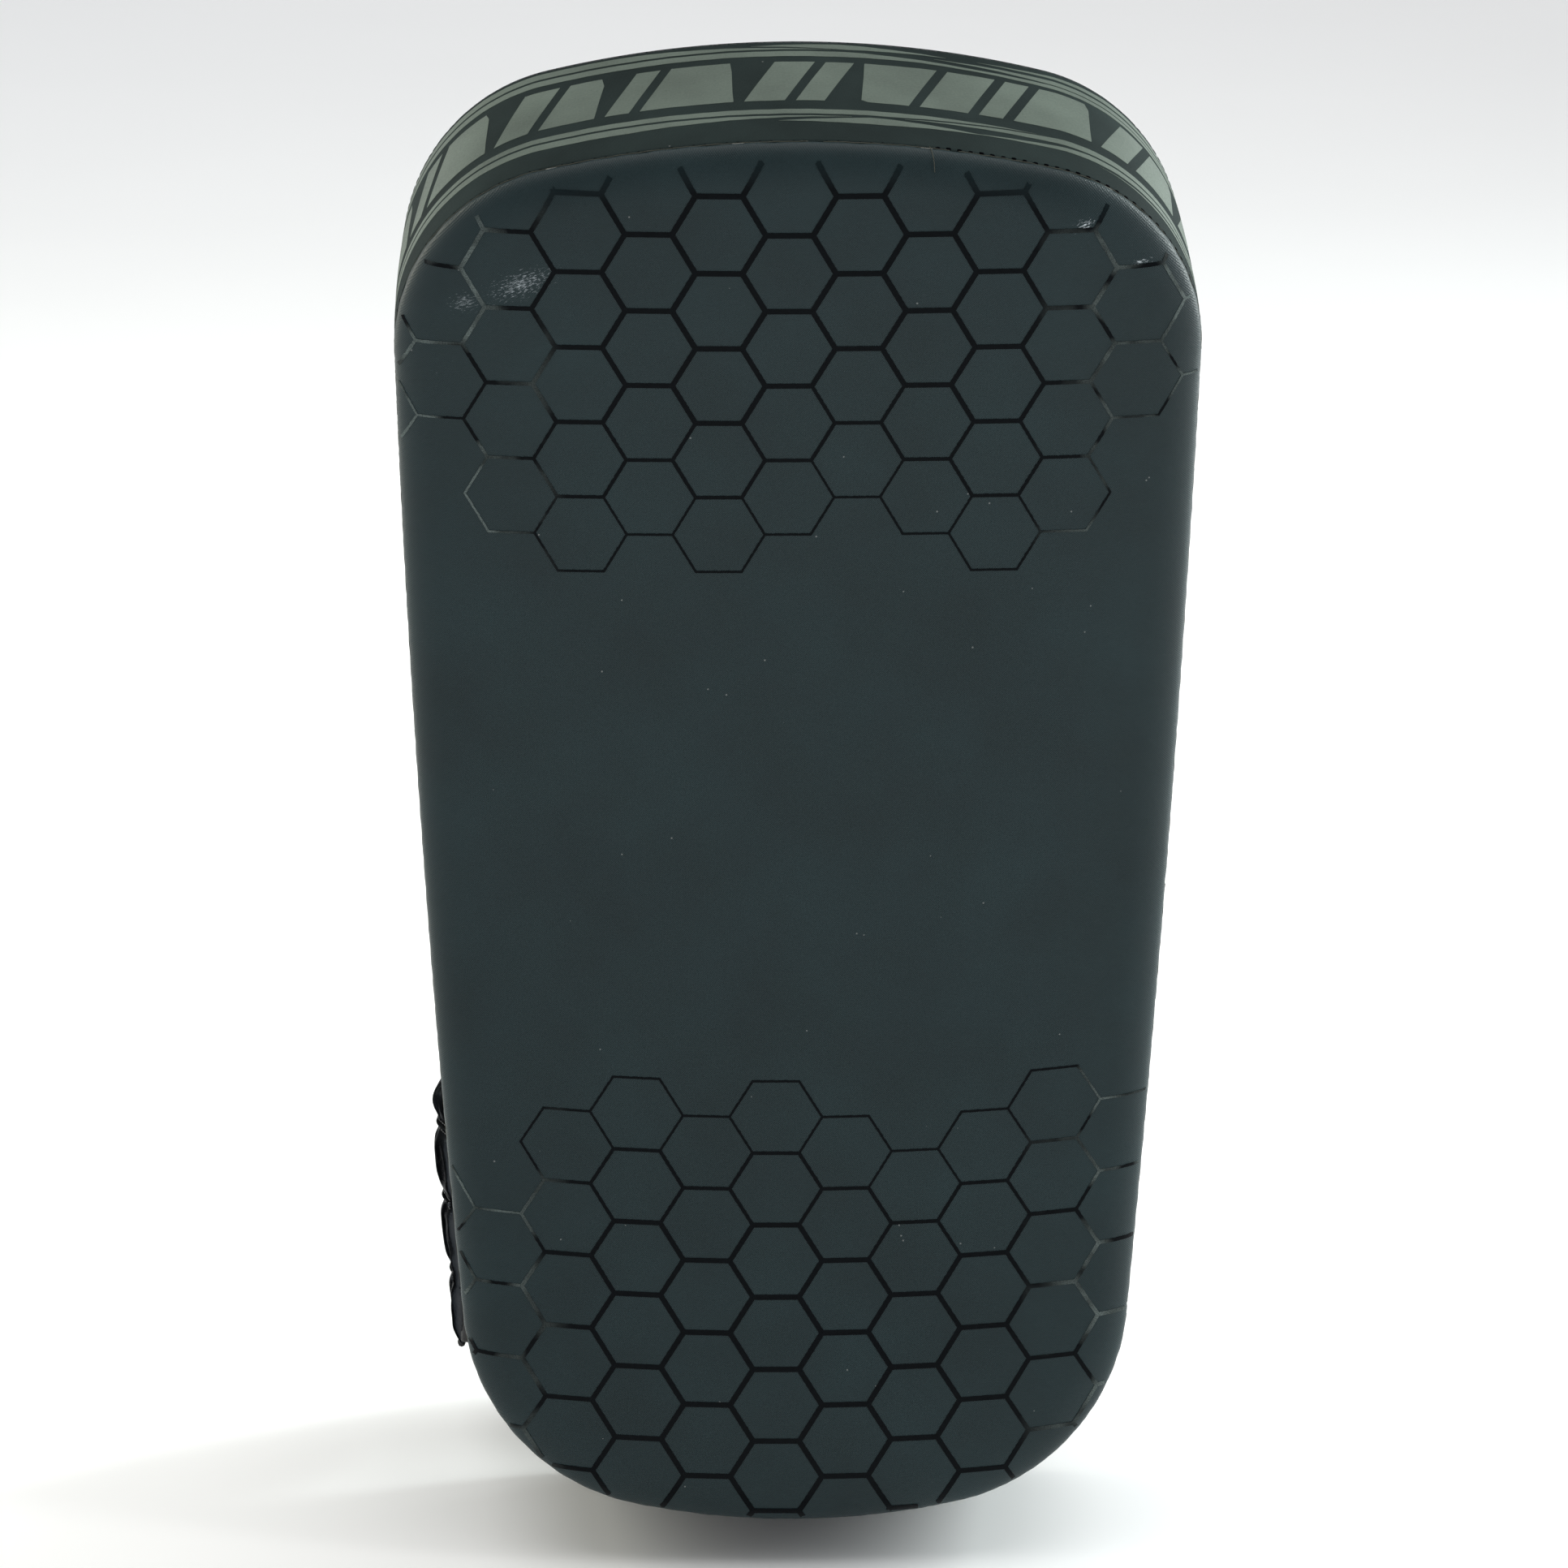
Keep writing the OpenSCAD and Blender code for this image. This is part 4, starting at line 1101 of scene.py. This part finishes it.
def make_pad(prefix, at, shift, height, channels):
    course = (at, shift, PAD_PATH)
    join = hinged(at, ARCH_FOOT[0] + shift, 2.0, 24.0)
    w = height / 2
    stops = [-w + 2.5] + [c + d for c in channels for d in (-3.6, 3.6)] + [w - 2.5]
    lobes = list(zip(stops[::2], stops[1::2]))
    z = [-w, -w + 0.8]
    for low, high in lobes:
        z += list(low + (high - low) * np.linspace(0, 1, max(6, int((high - low) / 3.6))))
        if high < w - 3:
            z += [high + 1.8, high + 3.6, high + 5.4]
    z = np.array(z + [w - 0.8, w])
    full = PAD_PATH[-1, 3]
    runs = np.linspace(0, full, 74)
    run = runs[:, None]
    # It is thin at its ends, and flat under the loop tape
    thin = np.minimum(np.minimum(0.35 + 0.65 * run / 32, 1), 0.5 + 0.5 * np.clip((full - run) / 22, 0, 1) ** 0.6)
    taped = smoothstep((run - (full - TAPE_RUN - 40)) / 24)
    loft = quilt(z, lobes)
    bulge = 6.4 + 2.0 * loft + 0.5 * loft * waves(run * 1.3, z * 1.3, at)
    edge = dome(np.clip((w - np.abs(z)) / 9, 0.012, 1))
    flat = np.sqrt(np.clip((w - np.abs(z)) / 6, 0.03, 1))
    outer = (bulge * (1 - taped) + 10.2 * taped * flat) * edge * thin
    inner = -(5.8 + 4.0 * loft) * edge * thin
    zz = np.concatenate([z, z[::-1]])
    obj = sweep(prefix + "_pad", course, zz, np.concatenate([outer, inner[:, ::-1]], 1), QUILT, runs)
    held = (quilt(zz, lobes) < 0.25) | (run < runs[3]) | (run > runs[-4])
    held |= (np.arange(len(zz)) < len(z)) & (taped > 0.3)
    inflate(obj, held, 3.0, 1.8)
    smoother(obj)
    join(obj, "quilted_vinyl", prefix + "_pad")

    # Piping round its edge, and the sewn ridges down its channels
    out = np.linspace(6, full - 1.5, 60)
    loop = [swept(course, out, w, 0.0), swept(course, full + 0 * out[:8], np.linspace(w - 4, -w + 4, 8), 0.0),
            swept(course, out[::-1], -w, 0.0)]
    join(tube(prefix + "_pad_piping", np.concatenate(loop), 2.1, BINDING), "gloss_vinyl")
    for number, c in enumerate(channels):
        for face, sign, off, stop in (("out", 1, 6.0, full - TAPE_RUN - 34), ("in", -1, 5.4, full - 8)):
            r = np.linspace(12, stop, 50)
            ridge = swept(course, r, c, sign * (off * np.interp(r, runs, thin[:, 0]) + 0.2))
            join(tube(f"{prefix}_ridge_{number}_{face}", ridge, 1.5, QUILT), "quilted_vinyl")
            r = np.arange(14, stop, 4.0)
            rise = sign * ((off + 0.3) * np.interp(r, runs, thin[:, 0]) + 0.3)
            for row, side in (("a", -2.4), ("b", 2.4)):
                sew(f"{prefix}_stitch_{number}_{face}_{row}", join, course, r, c + side, rise, sign, 4.0, 0.36)


def flat_tape(name, at, shift, off, a0, a1, height, mat, body, fuzz, face):
    """A hook or loop tape over the arch, from angle a0 to a1, with its stitched edge."""
    start = (ARCH_CENTRE[0] + ARCH_R * math.cos(math.radians(a0)),
             ARCH_CENTRE[1] + ARCH_R * math.sin(math.radians(a0)), a0 - 90)
    course = (at, shift, arcs(start, [(ARCH_R, a1 - a0)], 4.0))
    run = course[2][:, 3:]
    end = run[-1, 0]
    z, o = strap_section(height, TAPE_THICK, 5.0, 1.0)
    mid = off + TAPE_THICK / 2
    pile = np.sin(run * 2.9 + z * 1.7) * fuzz * np.sign(o)
    join = riding(body)
    join(sweep(name, course, z, mid + o + pile, mat), "hook_and_loop", name)
    for n, edge in enumerate((-height / 2 + 3, height / 2 - 3)):
        for k, side in enumerate((-1, 1)):
            r = np.arange(3, end - 3, 3.4)
            sew(f"{name}_stitch_{n}_{k}", join, course, r, edge, mid + side * 0.55, side, 3.4, 0.34)
    for n, r in enumerate((3.0, end - 3.0)):
        row = np.arange(-height / 2 + 4, height / 2 - 4, 3.4)
        sew(f"{name}_stitch_end_{n}", join, course, r, row, mid + face * 0.75, face, 3.4, 0.34)


def make_flap(prefix, at, shift, height):
    """The closing flap, in one strip with its anchor."""
    course = (at, shift, FLAP_PATH)
    join = hinged(at, FLAP_FOOT_X + shift, 3.0, 17.0)
    run, w = FLAP_PATH[:, 3:], height / 2
    end = run[-1, 0]
    z, o = strap_section(height, FLAP_THICK, 9.0, 3.4)
    flap = sweep(prefix + "_flap", course, z, o + 0.25 * waves(run, z, at), VINYL)
    join(flap, "gloss_vinyl", prefix + "_flap", prefix + "_anchor")
    for n, edge in enumerate((-w + 2.2, -w + 7.4, w - 7.4, w - 2.2)):
        sew(f"{prefix}_flap_stitch_{n}", join, course, np.arange(3, end - 32, 4.2), edge, 1.72)
    for n, r in enumerate((3.0, 8.0)):
        sew(f"{prefix}_flap_end_{n}", join, course, r, np.arange(-w + 9, w - 9, 4.2), 1.35)
    for n, back in enumerate((3.5, 9, 21)):
        row = np.arange(-w + 5, w - 5, 4.2)
        sew(f"{prefix}_anchor_stitch_{n}", riding("shield"), course, end - back, row, -1.38, -1)


def make_base(prefix, at, shift, height):
    course = (at, shift, arcs((-143.2, 1.3, 180.0), [(24, 0), (16, -34), (2, 0)], 3.0))
    join = riding("shield")
    z, o = strap_section(height - 4, 2.0, 7.0, 2.3)
    join(sweep(prefix + "_base", course, z, o, VINYL), "gloss_vinyl", prefix + "_base")
    for n, r in enumerate((3.0, 8.0, 19.0)):
        sew(f"{prefix}_base_stitch_{n}", join, course, r, np.arange(-height / 2 + 6, height / 2 - 6, 4.2), -1.1, -1)


for prefix, at, shift, height, channels in (
        ("lower_cuff", CUFF_AT, 0.0, CUFF_HEIGHT, (-36.0, 5.0, 46.0)),
        ("upper_strap", STRAP_AT, STRAP_SHIFT, STRAP_HEIGHT, (-16.0, 17.0))):
    side = prefix.split("_")[0]
    flap_height = height * 0.82
    make_pad(prefix, at, shift, height, channels)
    flat_tape(prefix + "_loop_tape", at, shift, PADDING / 2 + 0.3, 98.5, 85.5, height - 24,
              LOOP, side + "_pad", 0.10, 1)
    flat_tape(prefix + "_hook_tape", at, shift, FLAP_OFF - 1.6 - 0.3 - TAPE_THICK, 92.4, 85.5, flap_height - 16,
              HOOK, side + "_flap", 0.05, -1)
    make_flap(prefix, at, shift, flap_height)
    make_base(prefix, at, shift, height)


# ---- Forearm cushion ----
def make_cushion():
    width, top, corner = CUSHION_WIDTH, CUSHION_STAND, 24.0
    low, high = CUFF_AT - CUFF_HEIGHT / 2 - 12, STRAP_AT + STRAP_HEIGHT / 2 + 12
    mid, length = (low + high) / 2, high - low
    seams = np.linspace(-length / 2, length / 2, 7)
    lobes = list(zip(seams[:-1] + 1.6, seams[1:] - 1.6))
    t = np.linspace(0, 1, 10)
    v = np.unique(np.round(np.concatenate([a + (b - a) * t for a, b in lobes] + [seams]), 3))
    x = np.concatenate([[-1, -0.99, -0.965, -0.93], np.linspace(-0.88, 0.88, 27), [0.93, 0.965, 0.99, 1]]) * width / 2
    xx, vv = np.meshgrid(x, v, indexing="ij")
    # Rounded corners: the rows draw in towards both ends
    pull = corner * (1 - np.sqrt(1 - np.clip((np.abs(vv) - (length / 2 - corner)) / corner, 0, 1) ** 2))
    px = xx * (width / 2 - pull) / (width / 2)
    shell = dome((width / 2 - pull - np.abs(px)) / 13) * dome((length / 2 - np.abs(vv)) / 13)
    loft = quilt(vv, lobes)
    bars = 1 - 0.25 * np.exp(-(np.minimum(np.abs(px - 20), np.abs(px + 20)) / 3.0) ** 2)
    height = 2.0 + (top - 4.0) * shell * (0.62 + 0.38 * loft) * bars + 0.5 * waves(px * 1.5, vv * 1.5, 4.0) * shell
    n, m = xx.shape
    size = n * m
    verts = np.concatenate([wrap(mid, px, y, vv).reshape(-1, 3) for y in (height, 0.35 + 0 * height)])
    faces = grid_faces(n, m) + turned(grid_faces(n, m, first=size))
    border = [i * m for i in range(n)] + [(n - 1) * m + j for j in range(1, m)]
    border += [i * m + m - 1 for i in range(n - 2, -1, -1)] + list(range(m - 2, 0, -1))
    faces += [(b, a, a + size, b + size) for a, b in zip(border, border[1:] + border[:1])]
    surf = np.tile(np.stack([px, vv, 0 * px], -1).reshape(-1, 3), (2, 1)) * MM
    obj = new_object("forearm_cushion", verts, faces, MESH, surf)
    inflate(obj, np.stack([(loft < 0.3) | (shell < 0.25), np.ones((n, m), bool)]), 3.0, 2.4)
    smoother(obj)
    piece(obj, "shield", "air_mesh", "forearm_cushion")
    # Piping along the border, without its crowded points
    rim = np.stack([px.reshape(-1)[border], vv.reshape(-1)[border]], -1)
    loop = [rim[0]]
    for point in rim[1:]:
        if np.linalg.norm(point - loop[-1]) > 2.5:
            loop.append(point)
    x, v = np.array(loop).T
    piping = tube("cushion_piping", wrap(mid, x * 1.01, 2.0, v * 1.004), 1.9, BINDING, closed=True)
    piece(piping, "shield", "gloss_vinyl")


make_cushion()


# ---- Handles ----
RISE = 75.0
FOOT_RUN, FOOT_BEND, SHOULDER = 35.5, 6, 24
PATCH_HALF, PATCH_ROUND = 17.0, 5
PATCH_PROFILE = ((0.0, 0.0), (0.0, 1.4), (0.5, 1.9), (1.6, 2.1), (2.4, 1.75), (3.4, 2.05), (7.0, 2.1), (11.0, 2.1))
PATCH_SEAM = 2.4


def handle_path(foot, stand):
    up = (stand - SHOULDER * (1 - math.cos(math.radians(RISE))) - 6.05) / math.sin(math.radians(RISE))
    start = (-(foot + 41), 1.7, 0.0)
    half = [(FOOT_RUN, 0), (FOOT_BEND, RISE), (up, 0), (SHOULDER, -RISE)]
    end = arcs(start, half)[-1]
    return arcs(start, half + [(-2 * end[0], 0), half[-1], (up, 0), (FOOT_BEND, RISE), (FOOT_RUN, 0)], 3.0)


def make_patch(name, at, centre, width, replaced):
    """A leather patch that drapes over one foot of the webbing, with its row of stitches."""
    half_x, half_z = PATCH_HALF, (width + 10) / 2

    def drape(z):
        return 0.15 + 3.1 * smoothstep((width / 2 + 2.5 - np.abs(z)) / 4.0)

    def inner(inset):
        return np.array([(half_x - inset) / half_x, (half_z - inset) / half_z])

    a = np.linspace(0, 90, 8)
    outline = np.concatenate([np.stack([
        cx * (half_x - PATCH_ROUND) + PATCH_ROUND * np.cos(np.radians(a0 + a)),
        cz * (half_z - PATCH_ROUND) + PATCH_ROUND * np.sin(np.radians(a0 + a))], -1)
        for cx, cz, a0 in ((1, 1, 0), (-1, 1, 90), (-1, -1, 180), (1, -1, 270))])
    m = len(outline)
    flat = np.concatenate([outline * inner(inset) for inset, _ in PATCH_PROFILE])
    h = np.repeat([rise for _, rise in PATCH_PROFILE], m)
    surf = np.stack([flat[:, 0], flat[:, 1], h], -1) * MM
    last = (len(PATCH_PROFILE) - 1) * m
    faces = grid_faces(len(PATCH_PROFILE), m, True) + [tuple(range(last, last + m)), tuple(range(m))[::-1]]
    places = wrap(at, centre + flat[:, 0], drape(flat[:, 1]) + h, flat[:, 1])
    piece(new_object(name.format("patch"), places, turned(faces), VINYL, surf), "shield", "gloss_vinyl", *replaced)
    run = np.linspace(0, m, int(4 * (half_x + half_z) / 3.6), endpoint=False)
    ring = np.vstack([outline, outline[:1]])
    sx, sz = (np.interp(run, np.arange(m + 1), ring[:, k]) * inner(PATCH_SEAM)[k] for k in (0, 1))
    p, q = (wrap(at, centre + sx, drape(sz) + 1.95 + rise, sz) for rise in (0, 1))
    t = np.roll(p, -1, 0) - np.roll(p, 1, 0)
    piece(capsules(name.format("patch_stitch"), p, t, q - p, 2.5, 0.38), "shield", "thread")


def make_handle(prefix, at, foot, stand, width):
    course = (at, 0.0, handle_path(foot, stand))
    join = hinged(at, 0.0, 3.4, 32.0)
    run = course[2][:, 3:]
    end = run[-1, 0]
    z, o = strap_section(width, 2.7, 2.2, 2.7)
    web = sweep(prefix + "_webbing", course, z, o + 0.12 * waves(run * 2, z * 2, at), WEB)
    join(web, "webbing", prefix + "_webbing", prefix + "_tabs")
    for n, edge in enumerate((-width / 2 + 3, width / 2 - 3)):
        sew(f"{prefix}_webbing_stitch_{n}", join, course, np.arange(46, end - 46, 4.0), edge, 1.45, 1, 4.0, 0.4)
    make_patch(prefix + "_{}_left", at, -(foot + 20), width, (prefix + "_patches",))
    make_patch(prefix + "_{}_right", at, foot + 20, width, ())


make_handle("grip", GRIP_AT, GRIP_FOOT, GRIP_STAND, 30.0)
make_handle("grab", GRAB_AT, GRAB_FOOT, GRAB_STAND, 40.0)


def make_sleeve():
    """The padded tube round the main grip: a sewn wrap with turned ends."""
    r, half, seam_at = 18.0, 61.0, math.radians(262)
    ends = [0.91, 0.925, 0.94, 0.965, 0.985, 0.995, 1]
    x = np.concatenate([[-e for e in ends[::-1]], np.linspace(-0.87, 0.87, 47), ends]) * half
    radius = r - 6 * (1 - np.sqrt(1 - np.clip((np.abs(x) - half + 6) / 6, 0, 1) ** 2))
    radius = radius - 0.9 * np.exp(-((np.abs(x) - 0.925 * half) / 1.1) ** 2)
    a = np.linspace(0, math.tau, 56, endpoint=False)
    xx, aa = np.meshgrid(x, a, indexing="ij")
    seam = np.abs((aa - seam_at + math.pi) % math.tau - math.pi) * r
    rr = radius[:, None] - 1.3 * np.exp(-(seam / 1.5) ** 2) - 0.5 * np.exp(-((seam - 5) / 3) ** 2)
    rr = rr + 0.35 * waves(xx * 2.2, aa * r * 2.2, 5.0) * (radius[:, None] / r) - 0.5

    def round_grip(x, a, r):
        return wrap(GRIP_AT, x, GRIP_STAND + r * np.sin(a), r * np.cos(a))

    surf = np.stack([xx, aa * r, 0 * xx], -1) * MM
    obj = new_object("grip_sleeve", round_grip(xx, aa, rr), turned(tube_faces(*xx.shape)), VINYL, surf)
    smoother(obj)
    piece(obj, "main_grip", "gloss_vinyl", "grip_sleeve")
    for n, side in enumerate((-3.2, 3.2)):
        xs = np.arange(-52, 52, 4.2)
        p, q = (round_grip(xs, seam_at + side / r, r - 0.75 + rise) for rise in (0, 1))
        piece(capsules(f"sleeve_stitch_{n}", p, np.gradient(p, axis=0), q - p, 2.9, 0.36), "main_grip", "thread")


make_sleeve()


# ---- Floor and light ----
def stage():
    low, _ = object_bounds()
    mesh = bpy.data.meshes.new("floor")
    size = 9.0
    mesh.from_pydata([(-size, -size, 0), (size, -size, 0), (size, size, 0), (-size, size, 0)], [], [(0, 1, 2, 3)])
    floor = bpy.data.objects.new("floor", mesh)
    floor.location.z = low[2] - 0.0005
    scene.collection.objects.link(floor)
    m = Mat("floor", 0.85)
    cloud = m.noise(m.place(False), 1.5, 3.0)
    tone = m.mix(cloud, (0.92, 0.92, 0.92, 1), (0.95, 0.95, 0.95, 1))
    mesh.materials.append(m.finish(tone, m.span(cloud, 0.3, 0.7, 0.8, 0.9)))
    floor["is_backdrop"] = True

    world = bpy.data.worlds.new("world")
    world.use_nodes = True
    nodes, links = world.node_tree.nodes, world.node_tree.links
    nodes["Background"].inputs["Color"].default_value = (0.93, 0.96, 1.0, 1)
    # Brighter round the horizon, so a low view has a pale backdrop
    split, height = nodes.new("ShaderNodeSeparateXYZ"), nodes.new("ShaderNodeMapRange")
    links.new(nodes.new("ShaderNodeTexCoord").outputs["Generated"], split.inputs[0])
    links.new(split.outputs[2], height.inputs["Value"])
    height.interpolation_type = "SMOOTHSTEP"
    for socket, value in (("From Min", 0.10), ("From Max", 0.28), ("To Min", 0.98), ("To Max", 0.18)):
        height.inputs[socket].default_value = value
    links.new(height.outputs["Result"], nodes["Background"].inputs["Strength"])
    scene.world = world

    def lamp(name, kind, power):
        data = bpy.data.lights.new(name, kind)
        data.energy = power
        obj = bpy.data.objects.new(name, data)
        scene.collection.objects.link(obj)
        return obj, data

    sky, data = lamp("sky", "SUN", 1.9)
    data.angle = math.radians(70)
    sky.rotation_euler = (math.radians(-8), 0, 0)
    for name, at, size, power, color in (
            ("left", (-2.3, -0.9, 0.7), (0.35, 2.2), 9, (1, 1, 1)),
            ("right", (2.3, -0.9, 0.7), (0.35, 2.2), 18, (1, 1, 1)),
            ("left_rim", (-2.2, 1.1, 0.8), (0.5, 2.0), 34, (1.0, 0.98, 0.82)),
            ("right_rim", (2.2, 1.1, 0.8), (0.5, 2.0), 82, (0.92, 1.0, 0.98))):
        obj, data = lamp(name, "AREA", power)
        data.shape = "RECTANGLE"
        data.size, data.size_y = size
        data.color = color
        obj.location = at
        obj.rotation_euler = (-Vector(at)).to_track_quat("-Z", "Y").to_euler()
    scene.view_settings.view_transform = "Standard"


stage()
